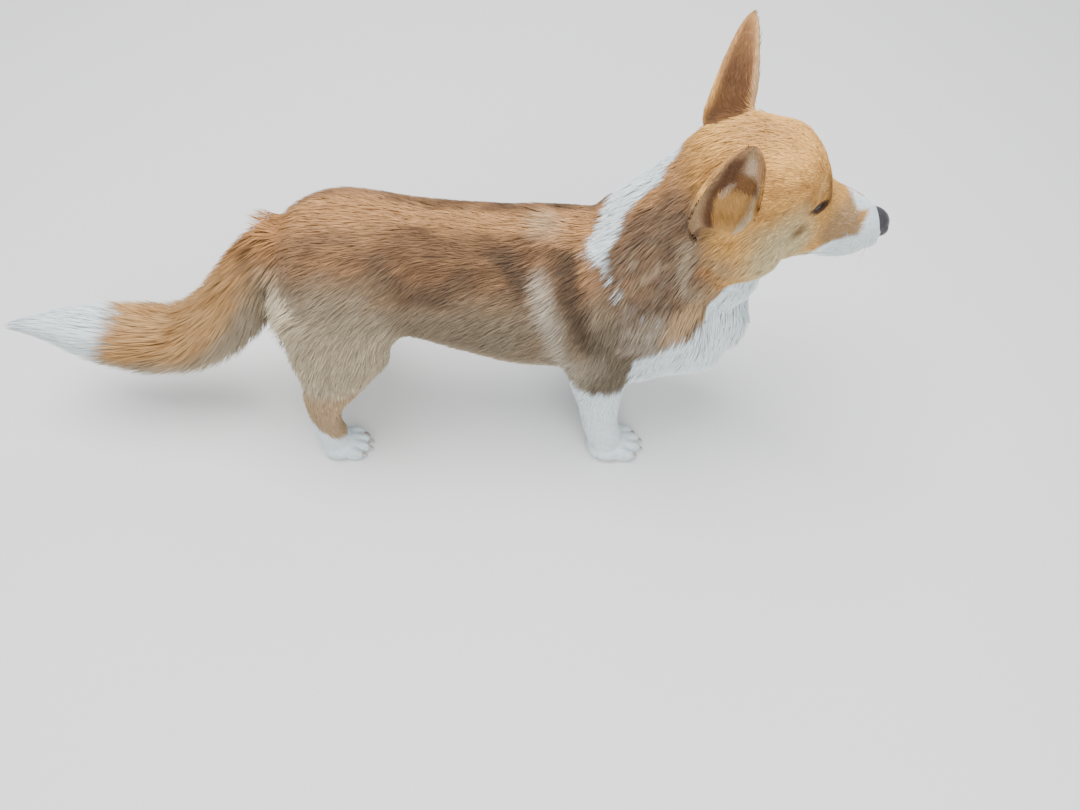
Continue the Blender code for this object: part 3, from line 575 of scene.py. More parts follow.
def detail(points, skull_share):
    """1 on the face, the ears and the toes, which keep their forms, and 0 on the body."""
    x, _, z = points.T
    skull = step_up(x, 18.0, 21.0) * step_up(z, 24.0, 26.0)
    muzzle = step_up(x, 25.2, 27.0)
    lids = fade(np.linalg.norm(left_side(points) - EYE_CENTRE, axis=1), 1.3, 2.3)
    ears = np.maximum(step_up(z, SKULL_TOP - 1.0, SKULL_TOP + 0.6), 0.95 * in_shell(points))
    return np.maximum.reduce([muzzle, lids, ears, fade(z, 1.6, 3.4), skull * skull_share])


def eye_frame(sign):
    """An eye's centre, and the directions of its gaze, to its corner and up, as rows."""
    centre = EYE_CENTRE * [1, sign, 1]
    gaze = Vector((EYE_GAZE.x, EYE_GAZE.y * sign, EYE_GAZE.z))
    across = Vector((0, 0, 1)).cross(gaze).normalized()
    return centre, np.array([gaze, across, gaze.cross(across)])


def opening(points, sign, grow=0.0):
    """How far inside the almond of the lids each point lies, from 1 in the middle to below 0 outside."""
    centre, axes = eye_frame(sign)
    ahead, across, rise = ((points - centre) @ axes.T).T
    width, height = EYE_OPENING[0] + grow, EYE_OPENING[1] + grow
    inside = 1 - (np.abs(across) / width) ** 2 - (np.abs(rise) / height) ** 1.5
    close = np.linalg.norm(points - centre, axis=1) < EYE_RADIUS + 1.2
    return np.where((ahead > 0) & close, inside, -1.0)


def ear_cup(points, places):
    """Each point's place in an ear: its share of the height, across its cup from -1 to 1, how far out
    of the ear's opening it lies, and how far out the floor of the cup lies there."""
    axis, opens, across, length = ear_axes(places)
    rise, ahead, aside = ((points - np.array(places[0])) @ np.array([axis, opens, across]).T).T
    up, down = np.clip(rise / length, 0, 1), np.clip(-rise / length / EAR_BELOW, 0, 1)
    half, depth = ear_size(up, down)
    share = aside / (half - RIM_SHARE * EAR_THICKNESS)
    floor = -(depth - EAR_THICKNESS) * np.sqrt(np.clip(1 - share**2, 0, 1))
    return rise / length, share, ahead, floor


def in_shell(points):
    """1 in the leaf of an ear, fading out over its base, and 0 elsewhere."""
    made = np.zeros(len(points))
    for places in (LEFT_EAR, RIGHT_EAR):
        up, share, ahead, floor = ear_cup(points, places)
        near = (np.abs(share) < 1.45) & (ahead < 0.9) & (ahead > floor - 1.0) & (up < 1.2)
        made = np.maximum(made, near * step_up(up, -0.44, -0.33))
    return made


def open_ears(points, facing):
    """Sink the side of the head into the lower part of each ear's cup."""
    for places in (LEFT_EAR, RIGHT_EAR):
        opens = np.array(ear_axes(places)[1])
        rise, share, ahead, floor = ear_cup(points, places)
        sink = step_up(rise, -0.34, -0.12) * fade(np.abs(share), 0.80, 0.98)
        sink *= step_up(facing @ opens, 0.2, 0.6) * fade(ahead, 1.2, 2.6) * (rise < 0.9)
        points = points - opens * (sink * np.clip(ahead - floor, 0, None))[:, None]
    return points


def carve_face(obj):
    """Press in the mouth, the groove under the nose, the brow's furrow and the openings of the lids."""
    points, facing = coordinates(obj), normals(obj)
    x, y, z = points.T
    mouth = np.exp(-((near_line(points[:, [0, 2]], MOUTH_LINE) / 0.13) ** 2)) * step_up(x, 24.0, 24.8)
    groove = np.exp(-((y / 0.10) ** 2)) * step_up(x, 30.4, 31.0) * step_up(z, 26.3, 26.7)
    groove *= fade(z, 27.8, 28.3)
    furrow = np.exp(-((y / 0.9) ** 2)) * step_up(x, 19.5, 22.4) * fade(x, 24.0, 25.5)
    furrow *= step_up(z, 33.0, 34.5)
    points = points - facing * (mouth * 0.30 + groove * 0.14 + furrow * 0.20)[:, None]
    for sign in (1, -1):
        gaze = eye_frame(sign)[1][0]
        points = points - gaze * (step_up(opening(points, sign), 0.0, 0.25) * 0.75)[:, None]
    set_coordinates(obj, points)


# How the coat lies, at places over the left side: the place, the lie, then the hair's length,
# its width, its depth over the skin, and how many tufts grow on a square centimetre.
LIE = [
    ((30.2, 0, 30.2), (-1, 0, 0.35), 0.42, 0.045, 0.06, 150),
    ((29.0, 1.9, 28.6), (-1, 0.35, -0.1), 0.45, 0.045, 0.06, 150),
    ((27.0, 2.2, 30.4), (-1, 0.3, 0.15), 0.55, 0.05, 0.08, 120),
    ((30.0, 1.6, 27.3), (-0.8, 0.3, -0.4), 0.45, 0.045, 0.06, 150),
    ((28.5, 1.0, 25.7), (-1, 0, -0.12), 0.6, 0.05, 0.10, 110),
    ((25.2, 1.8, 25.6), (-1, 0.05, -0.1), 0.8, 0.055, 0.12, 90),
    ((25.3, 0.6, 32.8), (-0.75, 0.1, 0.65), 0.55, 0.05, 0.08, 120),
    ((22.5, 1.0, 36.3), (-0.85, 0.1, 0.5), 0.7, 0.055, 0.12, 90),
    ((18.5, 1.5, 38.0), (-1, 0.05, 0.05), 0.95, 0.06, 0.18, 70),
    ((14.5, 2.0, 36.6), (-0.85, 0.1, -0.5), 1.3, 0.07, 0.25, 50),
    ((22.6, 2.9, 35.0), (-0.85, 0.4, 0.3), 0.5, 0.045, 0.07, 130),
    ((25.0, 2.6, 31.6), (-0.95, 0.35, -0.15), 0.55, 0.05, 0.08, 120),
    ((22.6, 3.8, 31.4), (-0.9, 0.35, -0.3), 0.7, 0.055, 0.12, 100),
    ((20.5, 4.4, 34.0), (-1, 0.25, -0.05), 0.8, 0.06, 0.14, 80),
    ((20.5, 5.0, 29.6), (-0.8, 0.3, -0.5), 1.1, 0.065, 0.22, 60),
    ((17.6, 6.2, 30.6), (-0.6, 0.2, -0.75), 1.4, 0.075, 0.32, 50),
    ((16.6, 5.6, 26.8), (-0.55, 0.1, -0.85), 1.6, 0.08, 0.36, 45),
    ((21.5, 1.5, 25.2), (-0.9, 0, -0.35), 1.2, 0.07, 0.25, 55),
    ((12.4, 4.0, 34.0), (-0.75, 0.1, -0.65), 1.7, 0.08, 0.35, 40),
    ((9.0, 0, 31.6), (-0.8, 0, -0.55), 2.0, 0.10, 0.5, 31),
    ((12.0, 6.2, 28.0), (-0.55, 0.1, -0.85), 2.4, 0.11, 0.55, 31),
    ((12.5, 6.0, 23.0), (-0.4, 0.1, -0.9), 2.7, 0.12, 0.6, 24),
    ((17.6, 0, 24.2), (-0.15, 0, -1), 2.6, 0.12, 0.6, 24),
    ((19.6, 0, 19.0), (-0.15, 0, -1), 3.0, 0.11, 0.85, 30),
    ((17.6, 4.0, 18.4), (-0.3, 0.15, -0.95), 2.8, 0.11, 0.78, 30),
    ((16.4, 1.5, 13.0), (-0.6, 0, -0.8), 2.6, 0.11, 0.68, 28),
    ((11.0, 0, 10.4), (-1, 0, -0.2), 2.0, 0.11, 0.5, 22),
    ((4.0, 0, 28.6), (-1, 0, -0.2), 1.9, 0.075, 0.42, 31),
    ((3.5, 4.5, 27.0), (-0.85, 0.1, -0.5), 2.0, 0.075, 0.42, 31),
    ((7.0, 7.2, 22.0), (-0.45, 0.1, -0.85), 2.1, 0.078, 0.45, 31),
    ((8.0, 6.8, 16.0), (-0.4, 0.1, -0.9), 1.9, 0.075, 0.42, 31),
    ((4.0, 7.6, 12.5), (-0.5, 0.1, -0.85), 1.5, 0.09, 0.32, 30),
    ((-3.0, 5.5, 26.6), (-0.95, 0.05, -0.3), 1.8, 0.072, 0.40, 32),
    ((-2.5, 7.3, 19.5), (-0.8, 0, -0.6), 1.8, 0.072, 0.40, 32),
    ((-3.0, 5.4, 12.5), (-0.9, 0, -0.45), 1.9, 0.075, 0.40, 30),
    ((-5.0, 0, 11.6), (-1, 0, -0.12), 1.3, 0.075, 0.30, 20),
    ((-8.0, 0, 29.2), (-1, 0, 0), 1.7, 0.072, 0.38, 32),
    ((-12.5, 6.3, 22.5), (-0.85, 0, -0.5), 1.8, 0.072, 0.40, 32),
    ((-12.5, 5.8, 17.0), (-0.65, 0, -0.75), 1.9, 0.075, 0.42, 31),
    ((-19.0, 0, 30.0), (-1, 0, -0.1), 2.0, 0.075, 0.42, 31),
    ((-20.5, 6.2, 25.0), (-0.8, 0, -0.6), 2.0, 0.075, 0.42, 31),
    ((-18.5, 8.2, 18.5), (-0.45, 0.05, -0.85), 1.9, 0.075, 0.42, 31),
    ((-15.0, 7.0, 15.0), (-0.45, 0, -0.85), 1.6, 0.09, 0.36, 28),
    ((-24.6, 5.0, 19.0), (-0.45, 0, -0.9), 3.4, 0.13, 0.85, 24),
    ((-24.8, 3.5, 24.0), (-0.55, 0, -0.85), 2.8, 0.12, 0.70, 24),
    ((-25.2, 2.2, 20.0), (-0.65, 0, -0.75), 4.2, 0.13, 1.40, 26),
    ((-23.4, 0, 29.0), (-0.8, 0, -0.55), 2.4, 0.085, 0.50, 36),
    ((-24.4, 6.6, 14.0), (-0.35, 0, -0.95), 2.4, 0.11, 0.55, 31),
    ((-20.0, 7.4, 10.6), (-0.15, 0, -1), 1.0, 0.07, 0.2, 45),
    ((-23.8, 7.4, 9.0), (-0.05, 0, -1), 0.9, 0.07, 0.18, 45),
    ((-23.4, 7.6, 5.0), (0.08, 0, -1), 0.75, 0.06, 0.14, 60),
    ((-22.4, 7.6, 2.4), (0.8, 0, -0.55), 0.6, 0.055, 0.10, 75),
    ((-20.2, 7.6, 1.2), (0.95, 0, -0.3), 0.45, 0.05, 0.07, 90),
    ((6.0, 6.6, 9.4), (-0.1, 0, -1), 1.1, 0.075, 0.22, 42),
    ((6.6, 7.3, 5.4), (0.05, 0, -1), 0.8, 0.065, 0.15, 55),
    ((7.8, 7.6, 2.6), (0.8, 0, -0.55), 0.6, 0.055, 0.10, 75),
    ((10.4, 7.6, 1.2), (0.95, 0, -0.3), 0.45, 0.05, 0.07, 90),
]
LIE_REACH = 2.4
# The most depth that the coat of an ear has, in the skin and at the tips, and its longest hair.
EAR_SKIN_DEPTH = 0.07
EAR_COAT_DEPTH = 0.09
EAR_LONGEST = 0.8
# The hair of an ear's tip, of its cup, and of the fluff at the foot of the cup.
EAR_TIP_HAIR = 0.28
CUP_HAIR = 0.55
FLUFF_HAIR = 0.85
# How far before or behind an ear's middle its own hair grows.
EAR_CLOSE = 3.2
EAR_HAIR = (0.75, 0.055, 0.08, 75)
BRUSH_HAIR = (4.6, 0.115, 1.55, 36)
# Behind this the tail's core keeps its own size, since it has its coat's depth taken off already.
TAIL_CORE_X = -27.5
# How the change of tone is made: of each tuft and each lock, and of the few pale and dark tufts.
TUFT_TONE = 0.10
LOCK_TONE = 0.06
PALE_TUFTS, PALE_TONE = 0.14, 1.28
DARK_TUFTS, DARK_TONE = 0.84, 0.78
# Where a tuft bends, how high it stands there, and how much of a tuft stays in front of an ear's cup.
BEND_PLACE = 0.42
BEND_RISE = 0.95
COVERING = 0.4
ROOT_DEPTH = 0.06
LEAST_TIP_Z = 0.05


def lie_guides():
    """Every guide of the lie on both sides, with those of the ears and the tail: places and values."""
    places, values = [], []
    for place, lie, *rest in LIE:
        for sign in ((1, -1) if place[1] else (1,)):
            places.append(np.array(place) * [1, sign, 1])
            values.append([*unit(np.array(lie, float) * [1, sign, 1]), *rest])
    for base, tip, _ in (LEFT_EAR, RIGHT_EAR):
        for t in (0.25, 0.5, 0.75, 1.0):
            places.append(np.array(base.lerp(tip, t)))
            values.append([*unit(np.array(tip - base)), *EAR_HAIR])
    rows = catmull(tail_rows(), 3)
    length, width, depth, density = BRUSH_HAIR
    for i in range(2, len(rows) - 1):
        share = rows[i, 3] / (TAIL_THICKNESS / 2)
        places.append(rows[i, :3])
        lie = unit(rows[i + 1, :3] - rows[i - 1, :3])
        values.append([*lie, length * (0.65 + 0.35 * share), width, depth * share, density])
    return np.array(places), np.array(values)


def coat_at(points):
    """The lie, length, width, depth and density of the hair at each point."""
    places, values = lie_guides()
    made = np.empty((len(points), values.shape[1]))
    for start in range(0, len(points), CHUNK):
        part = points[start : start + CHUNK]
        away = ((part[:, None, :] - places[None]) ** 2).sum(-1)
        nearest = away.min(1, keepdims=True)
        share = np.exp(-(away - nearest) / (0.5 * LIE_REACH * (LIE_REACH + np.sqrt(nearest))))
        made[start : start + CHUNK] = share @ values / share.sum(1, keepdims=True)
    return made


# The coat's white, with the bluish cast of shade under an open sky painted into it.
SKY_SHADE_WHITE = np.array([0.81, 0.91, 0.96])
TAN = np.array([0.45, 0.235, 0.100])
SADDLE = np.array([0.225, 0.125, 0.066])
RUST = np.array([0.33, 0.145, 0.048])
CREAM = np.array([0.58, 0.49, 0.34])
GOLD = np.array([0.62, 0.33, 0.095])
PALE = np.array([0.56, 0.46, 0.26])
NECK_BROWN = np.array([0.150, 0.098, 0.064])
BRUSH_ORANGE = np.array([0.53, 0.315, 0.135])
DUN = np.array([0.24, 0.195, 0.135])
PALE_DUN = np.array([0.47, 0.40, 0.31])
HAUNCH = np.array([0.38, 0.31, 0.21])
BAND = np.array([0.115, 0.075, 0.048])
SMUDGE = np.array([0.15, 0.075, 0.035])
DARK = np.array([0.02, 0.015, 0.013])
# Painted shade, for the hollows of the ears and the shaded back and crease of the far ear.
EAR_PAINTED_SHADE = np.array([0.13, 0.060, 0.028])
EAR_PALE = np.array([0.56, 0.41, 0.28])
EAR_BACK = np.array([0.44, 0.225, 0.095])
BUFF = np.array([0.41, 0.27, 0.145])
SPECK = np.array([0.42, 0.40, 0.40])


def spot(points, centre, radius, soft=0.5):
    """1 near a place on either side of the dog, and 0 away from it."""
    return fade(np.linalg.norm(left_side(points) - centre, axis=1), radius * (1 - soft), radius)


def in_ear(points, facing):
    """Where points lie in a cup of an ear: 1 in the cup, their share of its height, and -1 at the
    rear rim to 1 at the front one."""
    cup, rise, front = (np.zeros(len(points)) for _ in range(3))
    for places in (LEFT_EAR, RIGHT_EAR):
        _, opens, across, _ = ear_axes(places)
        up, share, ahead, floor = ear_cup(points, places)
        inward = facing @ np.array(opens) - (facing @ np.array(across)) * share
        near = (up > -0.28) & (up < 1) & (np.abs(share) < 0.99)
        near &= (np.abs(ahead - floor) < 0.55) & (inward > 0.25)
        forward = 1.0 if across.x > 0.5 else -1.0
        cup = np.where(near, 1.0, cup)
        rise = np.where(near, up, rise)
        front = np.where(near, share * forward, front)
    return cup, rise, front


def over_cup(points):
    """1 where a point hangs in front of the opening of an ear."""
    made = np.zeros(len(points))
    for places in (LEFT_EAR, RIGHT_EAR):
        up, share, ahead, floor = ear_cup(points, places)
        over = (up > -0.26) & (up < 0.95) & (np.abs(share) < 0.92)
        made = np.where(over & (ahead > floor + 0.1) & (ahead < 1.6), 1.0, made)
    return made


def body_marks(spots, mottle, cloud):
    """The darker saddle of the trunk and its paler flank, thigh and breeches."""
    x, y, z = spots.T
    beside, side = np.abs(y), spots[:, [0, 2]]
    outer = step_up(beside, 1.5, 3.8)
    trunk_part = between(x, -27, -23, 9, 14)
    stripe = between(x, -17.0, -11.0, -1.0, 1.5) * between(beside, 0.6, 2.0, 4.4, 6.4)
    flank = by_line(side, [(-14.6, 27.0), (-12.8, 25.0), (-9.8, 24.3), (-7.6, 25.6)], 0.2, 1.9)
    fold = by_line(side, [(-4.0, 28.0), (-2.6, 26.8), (-1.6, 25.0)], 0.2, 1.5)
    pale = by_line(side, [(-0.5, 27.4), (0.4, 24.2), (1.3, 19.5), (2.6, 15.0)], 0.2, 1.5)
    band = by_line(side, [(1.7, 29.0), (2.5, 25.6), (3.9, 21.2), (4.9, 19.2)], 0.4, 1.9)
    shoulder = between(x, 4.0, 5.8, 9.5, 12.0) * fade(z, 19.5, 25.0)
    thigh = between(x, -31, -28, -17.0, -13.0) * step_up(beside, 2.0, 4.0)
    breeches = between(x, -30, -28, -25.8, -23.0) * between(z, 10, 13, 24, 27)
    bottom = np.interp(x, [-15.0, -12.5, -6.5, -0.5, 3.0], [15.5, 14.9, 12.3, 10.2, 10.2])
    return [
        (SADDLE, trunk_part * step_up(beside, 0.9, 3.2) * (0.78 + 0.2 * cloud + 0.35 * mottle)),
        (SADDLE * 0.62, stripe * (0.70 + 0.3 * mottle)),
        (DUN, trunk_part * fade(z, 21.5, 26.5) * (0.85 + 0.15 * cloud)),
        (CREAM, trunk_part * fade(z + 0.2 * x, 12.0, 16.5) * 0.6),
        (BAND, flank * 0.75 * outer),
        (BAND * 0.8, fold * 0.9 * outer),
        (PALE_DUN, pale * 0.85 * step_up(beside, 3.8, 5.6)),
        (CREAM, spot(spots, (0.6, 0.0, 28.6), 3.0, 0.9) * 0.4),
        (BAND * 0.75, band * 0.93 * outer),
        (DUN * 0.62, shoulder * outer * 0.9),
        (PALE_DUN, spot(spots, (4.6, 6.4, 15.6), 3.4, 0.8) * 0.5),
        (HAUNCH * 0.85, thigh * fade(z, 24.5, 28.0) * (0.80 + 0.2 * cloud)),
        (HAUNCH * 1.15, thigh * fade(z, 18.0, 25.5) * (0.85 + 0.2 * mottle)),
        (CREAM, breeches * 0.8),
        (SADDLE, spot(spots, (-23.0, 3.5, 26.8), 4.2, 0.7) * 0.5),
        (SKY_SHADE_WHITE, between(x, -15.5, -12.0, 2.5, 4.5) * fade(z - bottom, 0.7, 1.9)),
    ]


def neck_marks(spots, mottle):
    """The brown ruff of the neck's side, streaked with cream, and the buff point below it."""
    x, y, z = spots.T
    beside, side = np.abs(y), spots[:, [0, 2]]
    outer = step_up(beside, 3, 5)
    behind = np.maximum(step_up(x, 6.0, 8.5), step_up(side @ UP_NECK, 21.8, 23.4) * step_up(x, 4.0, 6.0))
    neck_part = behind * fade(x, 15.5, 17.5) * step_up(z, 15.5, 18)
    streak = np.clip(noise(spots * [1.5, 1, 0.5], 0.5, 9), 0, 1)
    ruff = between(x, 6.5, 8.5, 12.0, 14.5) * between(z, 16.5, 18.5, 20.5, 24.0) * step_up(beside, 2, 4)
    point = by_line(side, [(16.2, 27.0), (15.2, 24.0), (12.6, 20.0)], 0.4, 2.0)
    fold = by_line(side, [(12.8, 31.0), (13.0, 27.5), (14.0, 24.5)], 0.1, 1.2)
    return [
        (NECK_BROWN, neck_part * step_up(beside, 1.0, 3.5) * (0.85 + 0.3 * mottle)),
        (CREAM * 0.8, neck_part * outer * streak * 0.34),
        (PALE_DUN * 0.75, ruff * (0.55 + 0.5 * mottle)),
        (BUFF, point * outer * 0.85),
        (CREAM * 0.9, fold * outer * 0.35),
    ]


def head_marks(spots, mottle):
    """The golden head, paler on the cheeks and with a painted highlight on its crown, with its white muzzle.
    """
    x, y, z = spots.T
    head_part = step_up(x + 0.35 * (z - 30), 13.5, 16.0) * step_up(z, 24, 26)
    fleck = np.clip(noise(spots, 0.35, 14) * 1.6, 0, 1)
    jaw = by_line(left_side(spots), [(15.0, 6.2, 28.0), (16.4, 5.4, 25.8), (18.8, 3.8, 25.0)], 0.1, 1.1)
    specks = step_up(noise(spots, 0.22, 12), 0.35, 0.6) * step_up(x, 26.0, 27.5)
    return [
        (GOLD, head_part),
        # Painted highlight: the top of the skull is made paler gold, as if lit from above.
        (GOLD * 1.3, head_part * step_up(z, 36.5, 38.0)),
        (RUST, head_part * between(z, 33.0, 35.5, 36.8, 38.2) * np.clip(0.15 + 0.8 * mottle, 0, 0.45)),
        (RUST * 0.8, head_part * between(z, 32.5, 34.0, 37.0, 38.2) * fleck * 0.5),
        (PALE, head_part * spot(spots, (20.8, 5.0, 29.8), 5.2, 0.7) * 0.95),
        (PALE, head_part * spot(spots, (21.4, 4.2, 33.2), 2.4, 0.8) * 0.5),
        # Painted highlight on the brow ridge over the eye.
        (PALE, spot(spots, (23.7, 2.9, 34.9), 1.1, 0.8) * 0.2),
        (BUFF, head_part * spot(spots, (15.4, 6.2, 28.4), 3.0, 0.7) * 0.9),
        # Painted shadow: dark brown behind and below the base of each ear, where the ear shades the neck.
        (NECK_BROWN * 0.8, spot(spots, (13.6, 6.4, 33.2), 1.9, 0.7) * 0.75),
        (BUFF * 0.8, spot(spots, (27.0, 2.3, 30.1), 3.1, 0.5) * 0.85),
        (RUST, jaw * 0.5),
        (PALE * 1.1, head_part * step_up(x, 18.5, 20.5) * fade(z, 26.8, 28.2) * 0.9),
        (SKY_SHADE_WHITE, step_up(x + 0.4 * (28 - z), 24.8, 26.0) * fade(z - 0.12 * (x - 26), 28.4, 29.0)),
        (SKY_SHADE_WHITE, step_up(x + 0.35 * (30 - z), 28.9, 29.7)),
        (SKY_SHADE_WHITE, step_up(x, 27.0, 28.2) * fade(np.abs(y), 0.45, 1.05) * step_up(z, 29.5, 30.5)),
        (SPECK, specks * 0.35),
    ]


def white_marks(spots):
    """The white bib, legs and nape streak, and the buff hocks."""
    x, y, z = spots.T
    beside = np.abs(y)
    edge = np.interp(
        z,
        [8.0, 11.0, 13.0, 16.3, 18.8, 20.1, 23.8, 25.5, 27.0, 28.6],
        [8.8, 9.4, 9.2, 9.6, 12.4, 15.0, 16.2, 17.0, 18.4, 20.6],
    )
    bib = step_up(x - edge, -0.2, 0.3) * fade(z, 25.0, 25.9)
    bib = np.maximum(bib, step_up(x, 14, 16) * fade(beside, 3.0, 3.8) * fade(z, 25.0, 26.0))
    sides = [-6.0, -5.2, -4.3, -3.2, -1.5, 0.0, 1.5, 7.5]
    rear = np.interp(y, sides, [23.4, 23.0, 23.0, 22.8, 23.6, 25.4, 26.6, 27.0])
    front = np.interp(y, sides, [23.4, 23.8, 23.6, 24.4, 28.4, 32.4, 34.6, 34.8])
    streak = between(spots[:, [0, 2]] @ UP_NECK, rear - 0.2, rear + 0.3, front - 0.3, front + 0.2)
    streak *= 1 - step_up(-y, 3.0, 5.0) * fade(noise(spots, 0.45, 15), -0.15, 0.25)
    fore = between(x, -1.5, 0.5, 13, 14) * step_up(beside, 2.8, 3.6)
    hind = between(x, -30, -29, -17.5, -16.5)
    foot = np.interp(x, [-25.5, -24.4, -23.4, -22.4, -21.6, -19.0], [8.4, 7.2, 4.6, 3.6, 3.6, 3.2])
    return [
        (SKY_SHADE_WHITE, bib * fade(x, 22.8, 23.6)),
        (SKY_SHADE_WHITE, step_up(x, 1.0, 3.5) * fade(z, 12.2, 13.4) * fade(beside, 3.6, 4.6)),
        (SKY_SHADE_WHITE, streak * step_up(x, 2.5, 3.5) * step_up(z, 14, 16)),
        (SKY_SHADE_WHITE, fore * fade(z + 0.25 * (x - 5), 12.0, 12.7)),
        (BUFF, hind * fade(z, 11.0, 13.5) * 0.8),
        (SKY_SHADE_WHITE, hind * fade(z - foot, -0.35, 0.35)),
    ]


def tail_marks(spots, facing, wobble, mottle):
    """The orange brush, cream and dun below, with its white tip."""
    x, _, z = spots.T
    tail_part = fade(x, -29.0, -26.0)
    under = step_up(-facing[:, 2] - 0.3 * np.abs(facing[:, 1]) - 0.25 * wobble[:, 0], -0.5, 0.5)
    rows = np.array(tail_rows())[::-1]
    low_side = tail_part * step_up(np.interp(x, rows[:, 0], rows[:, 2]) - z, -0.6, 1.6)
    return [
        (BRUSH_ORANGE, tail_part),
        (RUST, tail_part * np.clip(0.15 + 0.7 * mottle, 0, 0.5)),
        (CREAM, tail_part * under * 0.9),
        (DUN * 1.35, low_side * 0.75),
        (DUN, low_side * step_up(x, -35.0, -31.0) * 0.6),
        (RUST * 0.9, spot(spots, (-26.6, 0.0, 26.0), 5.5, 0.6) * 0.6),
        (SKY_SHADE_WHITE, fade(x - 1.6 * facing[:, 2], -47.4, -46.0)),
    ]


def face_marks(points, roots):
    """The smudge below the eye and the stripe above it, and the dark edges of the lids and lips."""
    brow = by_line(left_side(points), [(24.1, 1.8, 35.1), (24.8, 2.5, 33.5)], 0.1, 0.75)
    lips = by_line(roots[:, [0, 2]], MOUTH_LINE, 0.06, 0.20) * step_up(roots[:, 0], 23.9, 24.4)
    return [
        (SMUDGE, spot(points, (22.2, 4.2, 31.6), 1.25, 0.85) * 0.85),
        (SMUDGE, brow * 0.55),
        (SMUDGE * 0.5, step_up(opening(roots, 1, 0.16), -0.5, 0.0)),
        (SMUDGE * 0.5, step_up(opening(roots, -1, 0.16), -0.5, 0.0)),
        (DARK, lips),
    ]


def ear_marks(roots, facing, wobble):
    """Tan backs, with painted shade on the back and in the crease of the left one, and cups darkened inside
    with painted shade, with a tan rim, a pale strip partly painted light and a golden tuft.
    """
    cup, rise, front = in_ear(roots, facing)
    up, share, ahead, _ = ear_cup(roots, LEFT_EAR)
    left = (up > -0.2) & (np.abs(share) < 1.3) & (np.abs(ahead) < EAR_CLOSE) & (cup == 0)
    back_shade = fade(share, 0.0, 0.5) * fade(ahead, -0.75, -0.20) * step_up(up, -0.2, 0.05)
    crease_shade = fade(share, -0.20, 0.25) * fade(ahead, -0.85, -0.25) * between(up, -0.16, 0.02, 0.42, 0.88)
    rim = step_up(-share, 0.97, 1.04) * step_up(up, 0.15, 0.3) * step_up(ahead, -0.6, -0.2)
    front = front + 0.16 * wobble[:, 0] + 0.10 * wobble[:, 1]
    rise = rise + 0.05 * wobble[:, 2]
    pale_lit_strip = step_up(front, 0.40, 0.68) * between(rise, 0.34, 0.50, 0.66, 0.84)
    patch = step_up(front, 0.10, 0.40) * between(rise, 0.06, 0.16, 0.34, 0.50)
    wisp = between(front, -0.02, 0.10, 0.24, 0.36) * between(rise, -0.02, 0.06, 0.18, 0.28)
    return [
        (EAR_BACK, step_up(roots[:, 2], 37.6, 39.2) * (1 - cup) * 0.85),
        # Painted shade on the back of the left ear and in its crease.
        (EAR_PAINTED_SHADE * 1.5, left * back_shade * 0.7),
        (EAR_PAINTED_SHADE * 0.8, left * crease_shade * 0.85),
        (BUFF * 1.3, left * rim * 0.8),
        (BUFF, cup),
        # Painted shade in the hollow of each ear's cup.
        (EAR_PAINTED_SHADE, cup * between(front, -0.66, -0.18, 0.20, 0.60) * fade(rise, 0.66, 1.0)),
        (EAR_BACK, cup * step_up(rise, 0.70, 0.92) * fade(front, 0.0, 0.3) * 0.8),
        # The pale strip in the cup: partly pale inner hair, partly painted light on the inside of the ear.
        (EAR_PALE, cup * pale_lit_strip * 0.85),
        (RUST * 0.62, cup * patch * 0.9),
        (GOLD * 0.75, cup * step_up(front, -0.12, 0.10) * fade(rise, 0.06, 0.16) * 0.95),
        (EAR_PALE, cup * wisp * 0.5),
        (CREAM, cup * step_up(front, 0.84, 0.95) * 0.7),
        (EAR_BACK * 1.2, cup * step_up(front, 0.80, 0.93) * step_up(rise, 0.25, 0.45) * 0.8),
    ]


def markings(points, facing, roots):
    """The coat's colour at each point, by where it grows: tan, under each layer of marks in turn."""
    wobble = np.stack([noise(points, 2.2, seed) for seed in (1, 2, 3)], -1)
    fine = np.stack([noise(points, 0.6, seed) for seed in (4, 5, 6)], -1)
    spots = points + wobble * 0.45 + fine * 0.22
    mottle = noise(points * [0.5, 1, 1], 0.8, 7)
    colour = np.tile(TAN, (len(points), 1))
    for layer, share in (
        *body_marks(spots, mottle, noise(points, 4.5, 8)),
        *neck_marks(spots, mottle),
        *head_marks(spots, mottle),
        *white_marks(spots),
        *tail_marks(spots, facing, wobble, mottle),
        *face_marks(points, roots),
        *ear_marks(roots, facing, wobble),
    ):
        share = np.clip(share, 0, 1)[:, None]
        colour = colour * (1 - share) + layer * share
    return colour


def bare(points):
    """1 where no hair grows: in the eyes' openings, on the nose, along the mouth and on the soles."""
    x, _, z = points.T
    eyes = np.maximum(opening(points, 1, 0.14), opening(points, -1, 0.14)) > 0
    nose = np.linalg.norm((points - [NOSE_X - 1.15, 0, 28.45]) / [1.45, 1.6, 1.35], axis=1) < 1
    lips = (near_line(points[:, [0, 2]], MOUTH_LINE) < 0.10) & (x > 24.2)
    return eyes | nose | lips | (z < 0.12)


def at_most(values, limit, share):
    """The values, held to the limit by this share."""
    return values + (np.minimum(values, limit) - values) * share


